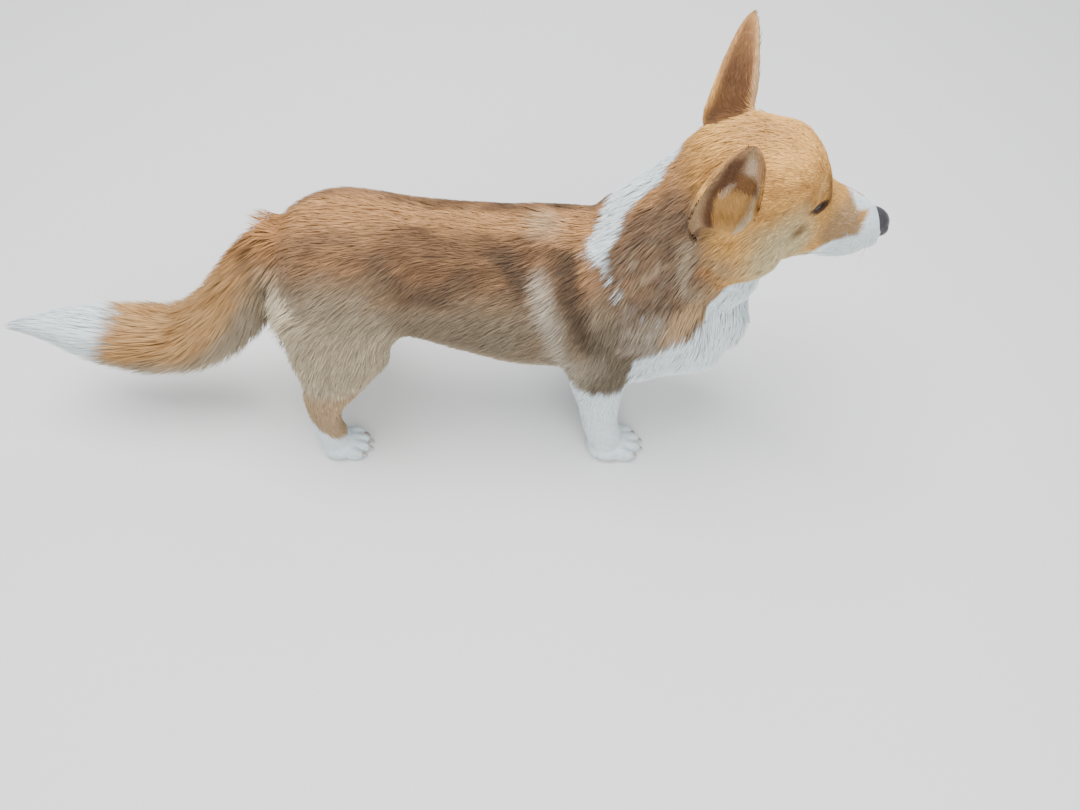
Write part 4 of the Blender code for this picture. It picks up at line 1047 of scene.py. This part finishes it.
def make_skin():
    """The whole skin, inside the coat, in one closed surface."""
    shapes = [trunk(), neck(), throat(), skull_and_muzzle(), tail(), ear(LEFT_EAR), ear(RIGHT_EAR)]
    shapes += both(face_masses())
    shapes += both([mass((-24.8, 3.2, 19.6), (2.3, 2.3, 5.0), turn_y=4)])
    shapes += foreleg(FAR_FORE_STEP) + hindleg(FAR_HIND_STEP)
    shapes += [mirrored(s) for s in foreleg(0.0) + hindleg(0.0)]
    skin = fused("skin", shapes, VOXEL)
    weigh(skin, "Body", 1 - detail(coordinates(skin), 0.75))
    soften(skin, "Soften body", BODY_TURNS, "Body")
    soften(skin, "Soften all", SKIN_TURNS)
    bake(skin)
    skin.vertex_groups.clear()
    points = coordinates(skin)
    depth = np.where(points[:, 0] < TAIL_CORE_X, 0.0, coat_at(points)[:, 5])
    depth = at_most(depth, EAR_SKIN_DEPTH, in_shell(points))
    points = points - normals(skin) * depth[:, None]
    points = open_ears(points, normals(skin))
    points[:, 2] = np.maximum(points[:, 2], SOLE_Z)
    set_coordinates(skin, points)
    carve_face(skin)
    weigh(skin, "Coarse", 1 - 0.9 * detail(points, 0.6))
    reduce = skin.modifiers.new("Thin out", "DECIMATE")
    reduce.ratio = SKIN_TRIANGLES / (2 * len(skin.data.polygons))
    reduce.vertex_group = "Coarse"
    reduce.vertex_group_factor = 1.0
    reduce.use_collapse_triangulate = True
    bake(skin)
    skin.vertex_groups.clear()
    skin.data.shade_smooth()
    return skin


def paint(mesh, colours):
    """Give each point of the mesh its own colour."""
    layer = mesh.color_attributes.new("Coat", "FLOAT_COLOR", "POINT")
    opaque = np.hstack([colours, np.ones((len(colours), 1))])
    layer.data.foreach_set("color", opaque.astype(np.float32).ravel())


def triangles_of(mesh, what="vertices"):
    """The corners of the mesh's triangles, as its points or its loops."""
    mesh.calc_loop_triangles()
    flat = np.empty(len(mesh.loop_triangles) * 3, np.int32)
    mesh.loop_triangles.foreach_get(what, flat)
    return flat.reshape(-1, 3)


def search_tree(points, corners):
    """A search tree of triangles."""
    return BVHTree.FromPolygons(points.tolist(), corners.tolist())


def unwrap(skin):
    """An unwrap of a coarse copy of the skin: a search tree of its faces, their corners and their places."""
    coarse = link("unwrap", skin.data.copy())
    reduce = coarse.modifiers.new("Thin out", "DECIMATE")
    reduce.ratio = UNWRAP_SHARE
    bake(coarse)
    bpy.context.view_layer.objects.active = coarse
    for obj in bpy.context.selected_objects:
        obj.select_set(False)
    coarse.select_set(True)
    bpy.ops.object.mode_set(mode="EDIT")
    bpy.ops.mesh.select_all(action="SELECT")
    bpy.ops.uv.smart_project(angle_limit=UNWRAP_ANGLE, island_margin=UNWRAP_MARGIN)
    bpy.ops.object.mode_set(mode="OBJECT")
    mesh = coarse.data
    places = np.empty(len(mesh.loops) * 2, np.float32)
    mesh.uv_layers.active.data.foreach_get("uv", places)
    uv = places.reshape(-1, 2)[triangles_of(mesh, "loops")]
    points, corners = coordinates(coarse), triangles_of(mesh)
    bpy.data.objects.remove(coarse, do_unlink=True)
    return search_tree(points, corners), points[corners], uv


def places_on(sheet, roots):
    """Where each root lies on the unwrap."""
    tree, corners, uv = sheet
    made = np.empty((len(roots), 2))
    for i, root in enumerate(roots):
        here, _, face, _ = tree.find_nearest(Vector(root))
        a, b, c = corners[face]
        here = np.array(here)
        total = np.linalg.norm(np.cross(b - a, c - a)) + 1e-12
        wb = np.linalg.norm(np.cross(here - a, c - a)) / total
        wc = np.linalg.norm(np.cross(b - a, here - a)) / total
        made[i] = uv[face][0] * (1 - wb - wc) + uv[face][1] * wb + uv[face][2] * wc
    return made


def scatter(skin, draw):
    """Random roots on the skin, closer where the coat is finer, and the way that the skin faces there."""
    points, facing, corners = coordinates(skin), normals(skin), triangles_of(skin.data)
    a, b, c = (points[corners[:, k]] for k in range(3))
    middle = (a + b + c) / 3
    share = np.linalg.norm(np.cross(b - a, c - a), axis=1) / 2 * coat_at(middle)[:, 6]
    share[bare(middle)] = 0
    chosen = draw.choice(len(corners), TUFTS, p=share / share.sum())
    u, v = draw.random(TUFTS), draw.random(TUFTS)
    flip = u + v > 1
    u, v = np.where(flip, 1 - u, u), np.where(flip, 1 - v, v)
    roots = a[chosen] + (b - a)[chosen] * u[:, None] + (c - a)[chosen] * v[:, None]
    out = sum(facing[corners[chosen, k]] * w[:, None] for k, w in enumerate((1 - u - v, u, v)))
    keep = ~bare(roots)
    return roots[keep], unit(out)[keep]


def clumped(roots, tips, length, draw):
    """The tips, drawn towards those of the nearest lock's leader, so that the coat breaks into locks."""
    leaders = draw.choice(len(roots), len(roots) // LOCK, replace=False)
    tree = KDTree(len(leaders))
    for i, leader in enumerate(leaders):
        tree.insert(Vector(roots[leader]), i)
    tree.balance()
    nearest = np.array([tree.find(Vector(root))[1] for root in roots])
    pull = draw.uniform(0.5, 1.0, len(roots)) * np.interp(length, [0.8, 2.0, 3.5], [0.10, 0.22, 0.34])
    return tips + (tips[leaders[nearest]] - tips) * pull[:, None], nearest


def brush(roots, draw):
    """The bend and tip of each tuft of the tail, which follow the outline of its brush to the point."""
    rows = catmull(tail_rows(), 10)
    along = np.concatenate([[0], np.cumsum(np.linalg.norm(np.diff(rows[:, :3], axis=0), axis=1))])
    ahead = unit(np.gradient(rows[:, :3], axis=0))
    rise = np.cross([0, 1, 0], ahead)
    nearest = np.array([((rows[:, :3] - root) ** 2).sum(1).argmin() for root in roots])
    away = roots - rows[nearest, :3]
    lift = (away * rise[nearest]).sum(1)
    tall = np.where(lift > 0, rows[nearest, 4], rows[nearest, 5])
    turn = np.arctan2(lift / tall, away[:, 1] / rows[nearest, 3])
    reach = BRUSH_HAIR[0] * draw.uniform(0.65, 1.1, len(roots))
    reach = reach * (1 + 0.3 * step_up(-roots[:, 0], 48.5, 51.5))
    shell_share = draw.uniform(0.78, 1.02, len(roots))
    made = []
    for part, share in ((0.45, TAIL_CORE + 0.55 * (shell_share - TAIL_CORE)), (1.0, shell_share)):
        place = np.minimum(along[nearest] + reach * part, along[-1] - 0.02)
        row = np.stack([np.interp(place, along, rows[:, c]) for c in range(6)], -1)
        up = np.stack([np.interp(place, along, rise[:, c]) for c in range(3)], -1)
        tall = np.where(turn > 0, row[:, 4], row[:, 5])
        side = np.array([0, 1, 0]) * (np.cos(turn) * row[:, 3] * share)[:, None]
        made.append(row[:, :3] + side + up * (np.sin(turn) * tall * share)[:, None])
    return made


def grown(roots, out, draw):
    """Whether each tuft grows in the cup of an ear, and its lie, length, width and depth."""
    coat = coat_at(roots)
    count = len(roots)
    swirl = np.stack([noise(roots, 3.0, seed) for seed in (21, 22, 23)], -1)
    lie = coat[:, :3] + swirl * 0.20 + draw.normal(0, 0.08, (count, 3))
    lie = unit(lie - out * (lie * out).sum(1, keepdims=True))
    length = coat[:, 3] * draw.uniform(0.72, 1.12, count)
    depth = coat[:, 5] * draw.uniform(0.60, 1.10, count) + 0.02
    cup, rise, front = in_ear(roots, out)
    shell = in_shell(roots)
    depth, length = at_most(depth, EAR_COAT_DEPTH, shell), at_most(length, EAR_LONGEST, shell)
    fluffy = (rise < 0.14) & (front > -0.1)
    cup_length = np.where(fluffy, FLUFF_HAIR, CUP_HAIR) * draw.uniform(0.8, 1.15, count)
    length = np.where(cup > 0, cup_length, length)
    for places in (LEFT_EAR, RIGHT_EAR):
        axis, _, across, _ = ear_axes(places)
        up, share, ahead, _ = ear_cup(roots, places)
        close = np.abs(ahead) < EAR_CLOSE
        tip = close & (np.abs(share) < 1.4) & (up > 0.8) & (up < 1.1)
        length = np.where(tip, np.minimum(length, EAR_TIP_HAIR), length)
        inner = close & (cup > 0) & (np.abs(share) < 1) & (up < 1)
        along = np.array(axis) * 0.9 - np.array(across) * 0.3
        lie = np.where(inner[:, None], unit(along - out * (out @ along)[:, None]), lie)
    return cup, lie, length, coat[:, 4] * draw.uniform(0.7, 1.15, count), depth


def toned(colour, lock, length, draw):
    """The colours, with a change of tone from lock to lock and from tuft to tuft, and less of it in white."""
    count = len(colour)
    tone = draw.normal(1.0, TUFT_TONE, count)[:, None]
    tone = tone * (1 + LOCK_TONE * draw.normal(0, 1, lock.max() + 1)[lock])[:, None]
    chance = draw.random(count)[:, None]
    tone = tone * np.where(chance < PALE_TUFTS, PALE_TONE, np.where(chance > DARK_TUFTS, DARK_TONE, 1.0))
    pale = step_up(colour.min(1), 0.50, 0.75)[:, None]
    tone = 1 + (tone - 1) * (1 - 0.75 * pale) * np.interp(length, [2.0, 4.0], [1.0, 0.6])[:, None]
    return np.clip(colour * tone, 0.005, 0.95)


def strands(skin, draw):
    """The length of every tuft, and its root, bend, tip, facing, width and colour."""
    roots, out = scatter(skin, draw)
    cup, lie, length, width, depth = grown(roots, out, draw)
    bend = roots + lie * (length * BEND_PLACE)[:, None] + out * (depth * BEND_RISE)[:, None]
    tips = roots + lie * length[:, None] + out * (depth * draw.uniform(0.70, 1.0, len(roots)))[:, None]
    x, beside, z = left_side(roots).T
    on_tail = ((x < -26.6) & (beside < 4.5)) | ((x < -25.2) & (beside < 3.4) & (z > 22.5))
    bend[on_tail], tips[on_tail] = brush(roots[on_tail], draw)
    tips, lock = clumped(roots, tips, length, draw)
    for place in (bend, tips):
        place[:, 2] = np.maximum(place[:, 2], LEAST_TIP_Z)
    colour = toned(markings(0.55 * roots + 0.45 * tips, out, roots), lock, length, draw)
    length[on_tail] = BRUSH_HAIR[0]
    covering = (over_cup(tips) > 0) & (cup == 0)
    for place in (bend, tips):
        place[covering] = roots[covering] + (place - roots)[covering] * COVERING
    return length, roots - out * ROOT_DEPTH, bend, tips, out, width, colour


# Where a tuft's rings lie along its curve, and how wide they are, for short and for long hair.
SHORT_RINGS = ((0.0, 0.85), (0.50, 0.85))
LONG_RINGS = ((0.0, 0.8), (0.32, 1.0), (0.68, 0.70))
LONG_HAIR = 2.15
# A tuft's height over its width, its painted shade at the root and painted light towards the tip, and how
# its soft normals are mixed from the skin's, its own and up.
TUFT_RISE = 0.28
TUFT_SHADE_AND_LIGHT = (0.70, 1.0, 1.1)
TIP_LIGHT = 1.12
SKIN_NORMAL, OWN_NORMAL, UP_NORMAL = 0.75, 0.30, 0.22


def tuft_mesh(name, rings, roots, bend, tips, out, width, colours, places):
    """One mesh of closed, tapered, three-sided tufts."""
    count, turns = len(roots), 3 * len(rings)
    size = turns + 1
    across = unit(np.cross(out, tips - roots))
    points = np.empty((count, size, 3))
    for ring, (t, share) in enumerate(rings):
        centre = (1 - t) ** 2 * roots + 2 * t * (1 - t) * bend + t**2 * tips
        side = across * (width * share / 2)[:, None]
        rise = out * (width * share * TUFT_RISE)[:, None]
        points[:, ring * 3] = centre + side - rise
        points[:, ring * 3 + 1] = centre + rise
        points[:, ring * 3 + 2] = centre - side - rise
    points[:, turns] = tips
    pattern = [(2, 1, 0)]
    for start in range(0, turns - 3, 3):
        for k in range(3):
            here, after = start + k, start + (k + 1) % 3
            pattern += [(here, after, after + 3), (here, after + 3, here + 3)]
    pattern += [(turns - 3 + k, turns - 3 + (k + 1) % 3, turns) for k in range(3)]
    faces = (np.arange(count)[:, None, None] * size + np.array(pattern)[None]).reshape(-1, 3)
    mesh = bpy.data.meshes.new(name)
    mesh.vertices.add(count * size)
    mesh.vertices.foreach_set("co", in_frame(points.reshape(-1, 3)).astype(np.float32).ravel())
    mesh.loops.add(faces.size)
    mesh.loops.foreach_set("vertex_index", faces.astype(np.int32).ravel())
    mesh.polygons.add(len(faces))
    mesh.polygons.foreach_set("loop_start", np.arange(0, faces.size, 3, dtype=np.int32))
    mesh.update(calc_edges=True)
    # The colour is darkened towards the root and brightened towards the tip: painted shade deep in the coat
    # and painted light on the tips.
    ring_shade_and_light = np.interp([t for t, _ in rings], [0, 0.5, 1], TUFT_SHADE_AND_LIGHT)
    shade = np.append(np.repeat(ring_shade_and_light, 3), TIP_LIGHT)
    paint(mesh, np.clip(colours[:, None, :] * shade[None, :, None], 0, 0.97).reshape(-1, 3))
    spread = [[ring / len(rings), side / 2] for ring in range(len(rings)) for side in range(3)]
    spread = np.array([*spread, [1, 0.5]]) - 0.5
    uv = (places[:, None, :] + spread[None] * UV_PATCH).reshape(-1, 2)
    layer = mesh.uv_layers.new(name="OFBake")
    layer.data.foreach_set("uv", uv[faces.ravel()].astype(np.float32).ravel())
    mesh.shade_smooth()
    soft = np.repeat(out, size, axis=0) * SKIN_NORMAL
    soft = soft + unit(points - points.mean(1, keepdims=True)).reshape(-1, 3) * OWN_NORMAL
    soft = unit(soft + [0, 0, UP_NORMAL])
    mesh.normals_split_custom_set_from_vertices(soft.astype(np.float32))
    return link(name, mesh)


def set_up(made, values):
    """Set a node's inputs or properties, with an underscore for each space in an input's name."""
    for key, value in values.items():
        socket = made.inputs.get(key.replace("_", " "))
        if socket is None:
            setattr(made, key, value)
        else:
            socket.default_value = value


def principled(name, **values):
    """A new material, and its shader, with these inputs, and tree."""
    made = bpy.data.materials.new(name)
    made.use_nodes = True
    shader = made.node_tree.nodes["Principled BSDF"]
    set_up(shader, values)
    return made, shader, made.node_tree


def node(tree, kind, **values):
    """A node with these properties or inputs."""
    made = tree.nodes.new(kind)
    set_up(made, values)
    return made


def wire(tree, *wires):
    """Join nodes: each wire is a node, its output, the next node and its input."""
    for source, output, target, place in wires:
        tree.links.new(source.outputs[output], target.inputs[place])


def add_bump(tree, shader, source, output, **values):
    """Raise the shader's surface by a node's output."""
    bump = node(tree, "ShaderNodeBump", **values)
    wire(tree, (source, output, bump, "Height"), (bump, "Normal", shader, "Normal"))


def hair(name, grain, tone, **values):
    """Hair: its colour from the markings, with a fine change of tone. Also the shader, tree and grain."""
    made, shader, tree = principled(name, **values)
    colour = node(tree, "ShaderNodeAttribute", attribute_name="Coat")
    place = node(tree, "ShaderNodeTexCoord")
    grain = node(tree, "ShaderNodeTexNoise", **grain)
    tone = node(tree, "ShaderNodeMapRange", **tone)
    mix = node(tree, "ShaderNodeVectorMath", operation="SCALE")
    wire(
        tree,
        (place, "Object", grain, "Vector"),
        (grain, "Fac", tone, "Value"),
        (colour, "Color", mix, 0),
        (tone, "Result", mix, "Scale"),
        (mix, "Vector", shader, "Base Color"),
    )
    return made, shader, tree, grain


def grained(name, texture, low_colour, high_colour, bump=None, **values):
    """A surface with a fine pattern in its colour, and in its bump where one is given."""
    kind, output, pattern = texture
    made, shader, tree = principled(name, **values)
    place = node(tree, "ShaderNodeTexCoord")
    grain = node(tree, kind, **pattern)
    ramp = node(tree, "ShaderNodeValToRGB")
    for element, colour in zip(ramp.color_ramp.elements, (low_colour, high_colour)):
        element.color = (*colour, 1)
    wire(
        tree,
        (place, "Object", grain, "Vector"),
        (grain, output, ramp, "Fac"),
        (ramp, "Color", shader, "Base Color"),
    )
    if bump:
        add_bump(tree, shader, grain, output, **bump)
    return made


def coat_material():
    """Hair: its colour from the markings, with a fine change of tone along and across it."""
    grain = {"Scale": 900.0, "Detail": 2.0, "Roughness": 0.6}
    return hair("coat", grain, {"To_Min": 0.82, "To_Max": 1.14}, Roughness=0.72, Specular_IOR_Level=0.10)[0]


def skin_material():
    """The skin under the coat: the same markings, made a little darker as painted shade under the coat, with
    a bump like short hair.
    """
    grain = {"Scale": 1400.0, "Detail": 3.0, "Roughness": 0.7}
    tone = {"To_Min": 0.70, "To_Max": 1.05}
    made, shader, tree, source = hair("skin", grain, tone, Roughness=0.75, Specular_IOR_Level=0.2)
    add_bump(tree, shader, source, "Fac", Strength=0.5, Distance=0.0006)
    return made


def nose_material():
    """Black leather, pebbled and slightly damp."""
    return grained(
        "nose",
        ("ShaderNodeTexVoronoi", "Distance", {"Scale": 1100.0}),
        (0.045, 0.042, 0.048),
        (0.010, 0.009, 0.011),
        bump={"Strength": 0.55, "Distance": 0.0004, "invert": True},
        Roughness=0.38,
        Coat_Weight=0.25,
        Coat_Roughness=0.25,
    )


def eye_material():
    """A dark brown iris round a black pupil, under a wet surface. The eye looks along its own Z."""
    made, shader, tree = principled(
        "eye", Roughness=0.25, Specular_IOR_Level=0.25, Coat_Weight=0.45, Coat_Roughness=0.03
    )
    place = node(tree, "ShaderNodeTexCoord")
    apart = node(tree, "ShaderNodeSeparateXYZ")
    flat = node(tree, "ShaderNodeCombineXYZ")
    away = node(tree, "ShaderNodeVectorMath", operation="LENGTH")
    reach = node(tree, "ShaderNodeMapRange", From_Max=EYE_RADIUS * CM)
    ramp = node(tree, "ShaderNodeValToRGB")
    while len(ramp.color_ramp.elements) < len(IRIS):
        ramp.color_ramp.elements.new(0.5)
    for element, (position, colour) in zip(ramp.color_ramp.elements, IRIS):
        element.position = position
        element.color = (*colour, 1)
    wire(
        tree,
        (place, "Object", apart, "Vector"),
        (apart, "X", flat, "X"),
        (apart, "Y", flat, "Y"),
        (flat, "Vector", away, 0),
        (away, "Value", reach, "Value"),
        (reach, "Result", ramp, "Fac"),
        (ramp, "Color", shader, "Base Color"),
    )
    return made


def horn_material():
    """Claws: dark horn with a paler grain."""
    texture = ("ShaderNodeTexNoise", "Fac", {"Scale": 500.0, "Detail": 3.0})
    return grained("horn", texture, (0.22, 0.17, 0.14), (0.42, 0.35, 0.30), Roughness=0.35)


def rim_material():
    """The bare, dark, moist edge of the lids."""
    texture = ("ShaderNodeTexNoise", "Fac", {"Scale": 900.0, "Detail": 2.0})
    bump = {"Strength": 0.3, "Distance": 0.0003}
    return grained("rim", texture, (0.012, 0.009, 0.009), (0.040, 0.026, 0.022), bump, Roughness=0.4)


def whisker_material():
    """Stiff pale hairs with a darker grain."""
    texture = ("ShaderNodeTexNoise", "Fac", {"Scale": 200.0})
    return grained("whisker", texture, (0.35, 0.33, 0.30), (0.75, 0.74, 0.72), Roughness=0.45)


def finished(obj, finish):
    """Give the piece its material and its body."""
    obj.data.materials.clear()
    obj.data.materials.append(finish)
    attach(obj, BODY)
    return obj


def aimed(place, direction):
    """A transform that puts a thing at the place, with its own Z along the direction."""
    return Matrix.Translation(Vector(place)) @ direction.to_track_quat("Z", "Y").to_matrix().to_4x4()


def make_coat(skin, finish):
    """The coat, in pieces that each hold a share of the tufts from nose to tail."""
    length, *rows = strands(skin, np.random.default_rng(SEED))
    roots, colours = rows[0], rows[-1]
    rows.append(places_on(unwrap(skin), roots))
    long = length > LONG_HAIR
    number = 0
    for chosen, rings, count in ((~long, SHORT_RINGS, SHORT_PIECES), (long, LONG_RINGS, LONG_PIECES)):
        order = np.flatnonzero(chosen)
        order = order[np.argsort(roots[order, 0], kind="stable")]
        for part in np.array_split(order, count):
            number += 1
            piece = tuft_mesh(f"coat_{number}", rings, *[row[part] for row in rows])
            finished(piece, finish)


def make_eye(side, sign, finish):
    """An eyeball with a slight swell at its cornea, which looks along its own Z."""
    centre, axes = eye_frame(sign)
    points, faces = mass((0, 0, 0), [EYE_RADIUS * CM] * 3, fineness=5)
    mesh = bpy.data.meshes.new(f"eyeball_{side}")
    swelled = [p * (1 + 0.05 * max(0.0, p.normalized().z - 0.75) / 0.25) for p in points]
    mesh.from_pydata([tuple(p) for p in swelled], [], faces)
    mesh.shade_smooth()
    obj = link(f"eyeball_{side}", mesh)
    obj.matrix_world = aimed(in_frame(centre), Vector(axes[0]))
    finished(obj, finish)
    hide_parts(f"eye_{side}")


def tube(path, radii, sides=8):
    """(points, faces) of a closed tube along a path, with a radius at each point."""
    path = [Vector(p) for p in path]
    points = []
    for i, centre in enumerate(path):
        tangent = (path[min(i + 1, len(path) - 1)] - path[max(i - 1, 0)]).normalized()
        side = tangent.orthogonal() if i == 0 else (side - tangent * side.dot(tangent))
        side.normalize()
        rise = tangent.cross(side)
        for k in range(sides):
            turn = 2 * math.pi * k / sides
            points.append(centre + (side * math.cos(turn) + rise * math.sin(turn)) * radii[i])
    return points, ring_faces(len(path), sides)


def make_lids(side, sign, finish):
    """The dark edge of the lids, a thin ring round the eye's opening."""
    centre, axes = eye_frame(sign)
    count, sides = 48, 8
    points = []
    for k in range(count):
        turn = 2 * math.pi * k / count
        across = EYE_OPENING[0] * 1.02 * math.cos(turn)
        lift = math.copysign(abs(math.sin(turn)) ** 1.35, math.sin(turn)) * EYE_OPENING[1] * 1.02
        ahead = math.sqrt(max((EYE_RADIUS + 0.06) ** 2 - across**2 - lift**2, 0.05))
        here = centre + axes[0] * ahead + axes[1] * across + axes[2] * lift
        out = unit(here - centre)
        away = unit(axes[1] * math.cos(turn) / EYE_OPENING[0] + axes[2] * math.sin(turn) / EYE_OPENING[1])
        thick = 0.085 + 0.03 * abs(math.cos(turn)) ** 6
        for j in range(sides):
            spin = 2 * math.pi * j / sides
            points.append(here + (out * math.cos(spin) + away * math.sin(spin)) * thick)
    obj = mesh_object(f"lid_edge_{side}", points, ring_faces(count, sides, closed=True))
    work = bmesh.new()
    work.from_mesh(obj.data)
    bmesh.ops.recalc_face_normals(work, faces=work.faces)
    work.to_mesh(obj.data)
    work.free()
    obj.data.shade_smooth()
    finished(obj, finish)


def make_nose(finish):
    """The nose leather, with its nostrils and the groove between them."""
    shapes = [
        mass((NOSE_X - 1.45, 0, 28.55), (1.45, 1.45, 1.22), turn_y=14, fineness=4),
        mass((NOSE_X - 0.75, 0, 28.0), (0.72, 0.95, 0.9), fineness=4),
        *both([mass((NOSE_X - 0.95, 0.72, 28.3), (0.78, 0.68, 0.78), fineness=4)]),
    ]
    nose = fused("nose_leather", shapes, NOSE_VOXEL)
    soften(nose, "Soften", NOSE_TURNS)
    bake(nose)
    points, facing = coordinates(nose), normals(nose)
    y, z = points[:, 1], points[:, 2]
    sides = left_side(points)
    away = np.linalg.norm((sides - NOSTRIL) * [1.0, 1.0, 1.2], axis=1)
    slit = near_line(sides, [NOSTRIL, (31.35, 1.15, 28.15), (31.0, 1.35, 28.3)])
    groove = np.exp(-((y / 0.07) ** 2)) * step_up(points[:, 0], 31.3, 31.6) * fade(z, 28.5, 29.0)
    press = np.exp(-((away / 0.25) ** 4)) * 0.48 + np.exp(-((slit / 0.11) ** 2)) * 0.22 + groove * 0.10
    set_coordinates(nose, points - facing * press[:, None])
    nose.data.shade_smooth()
    finished(nose, finish)
    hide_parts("nose")


def make_claws(finish):
    """A short curved claw at the end of each toe."""
    shapes = []
    for paw_x, size, sign in (
        (FORE_PAW_X + FAR_FORE_STEP, FORE_PAW_SIZE, 1),
        (FORE_PAW_X, FORE_PAW_SIZE, -1),
        (HIND_PAW_X + FAR_HIND_STEP, HIND_PAW_SIZE, 1),
        (HIND_PAW_X, HIND_PAW_SIZE, -1),
    ):
        for across, reach in TOES:
            y = (PAW_Y + across * size) * sign
            x = paw_x + (reach - 0.5) * size + 1.05 * size
            path = [(x, y, 1.05), (x + 0.35, y, 0.98), (x + 0.62, y, 0.72), (x + 0.74, y, 0.42)]
            shapes.append(tube(catmull(path, 3), np.interp(range(10), [0, 4, 9], [0.17, 0.14, 0.03])))
    claws = mesh_object("claws", *joined(shapes))
    claws.data.shade_smooth()
    finished(claws, finish)


def make_whiskers(skin, finish):
    """Fine whiskers in rows on the upper lips."""
    draw = np.random.default_rng(SEED + 1)
    tree = search_tree(coordinates(skin), triangles_of(skin.data))
    seats = [(29.9 - 0.75 * k, 27.4 + 0.55 * row + 0.12 * k) for row in range(4) for k in range(4)]
    shapes = []
    for sign in (1, -1):
        for x, z in seats:
            root, out, _, _ = tree.ray_cast(Vector((x, 6.0 * sign, z)), Vector((0, -sign, 0)))
            if root is None:
                continue
            reach = draw.uniform(1.6, 3.2)
            lie = Vector((-0.75, 0.75 * sign, draw.uniform(-0.35, 0.1))).normalized()
            bend = root + (out * 0.55 + lie * 0.45) * reach * 0.5
            tip = bend + (lie + Vector((-0.15, 0, -0.12))) * reach * 0.5
            path = [root - out * 0.1]
            path += [root.lerp(bend, t).lerp(bend.lerp(tip, t), t) for t in (0.25, 0.5, 0.75, 1.0)]
            shapes.append(tube(path, WHISKER_RADII, sides=5))
    whiskers = mesh_object("whiskers", *joined(shapes))
    whiskers.data.shade_smooth()
    finished(whiskers, finish)


def make_floor():
    """A pale floor just under the paws, for the picture alone."""
    around = ((-1, -1), (1, -1), (1, 1), (-1, 1))
    corners = [(x * FLOOR_REACH, y * FLOOR_REACH, FLOOR_Z) for x, y in around]
    floor = mesh_object("floor", corners, [(0, 1, 2, 3)])
    floor.data.materials.append(principled("floor", Base_Color=(0.72, 0.72, 0.71, 1), Roughness=0.9)[0])


def make_lights():
    """A pale sky and three soft lamps."""
    world = bpy.data.worlds.new("studio")
    world.use_nodes = True
    set_up(world.node_tree.nodes["Background"], {"Color": (0.93, 0.96, 1.0, 1), "Strength": 0.68})
    bpy.context.scene.world = world
    for name, place, size, power in LIGHTS:
        light = bpy.data.lights.new(name, "AREA")
        light.size = size
        light.energy = power
        here = Vector(in_frame(place))
        link(name, light).matrix_world = aimed(here, here - Vector(in_frame(LIGHTS_AIM)))


def make_camera():
    """The camera, where the photo was taken from."""
    camera = bpy.data.cameras.new("camera")
    camera.sensor_width = SENSOR
    camera.lens = LENS
    camera.clip_start = CLIP_START
    seat = link("camera", camera)
    tilt = Matrix.Rotation(math.pi / 2 - CAMERA_TILT, 4, "X")
    seat.matrix_world = Matrix.Translation(Vector(in_frame(CAMERA_PLACE))) @ tilt
    bpy.context.scene.camera = seat


FLESH = ["torso", "neck", "head", "ear_left", "ear_right", "tail"]
LEG_PARTS = ("foreleg", "forepaw", "hindleg", "hindpaw")
FLESH += [f"{part}_{side}" for part in LEG_PARTS for side in ("left", "right")]


def main():
    """Build every piece of the picture and of the part."""
    make_floor()
    make_lights()
    make_camera()
    skin = make_skin()
    places, facing = coordinates(skin), normals(skin)
    # The skin takes the coat's markings, darkened as painted shade under the coat.
    paint(skin.data, markings(places, facing, places) * SKIN_PAINTED_SHADE)
    finished(skin, skin_material())
    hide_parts(*FLESH)
    make_coat(skin, coat_material())
    rim, eye = rim_material(), eye_material()
    for side, sign in (("left", 1), ("right", -1)):
        make_eye(side, sign, eye)
        make_lids(side, sign, rim)
    make_nose(nose_material())
    make_claws(horn_material())
    make_whiskers(skin, whisker_material())


main()
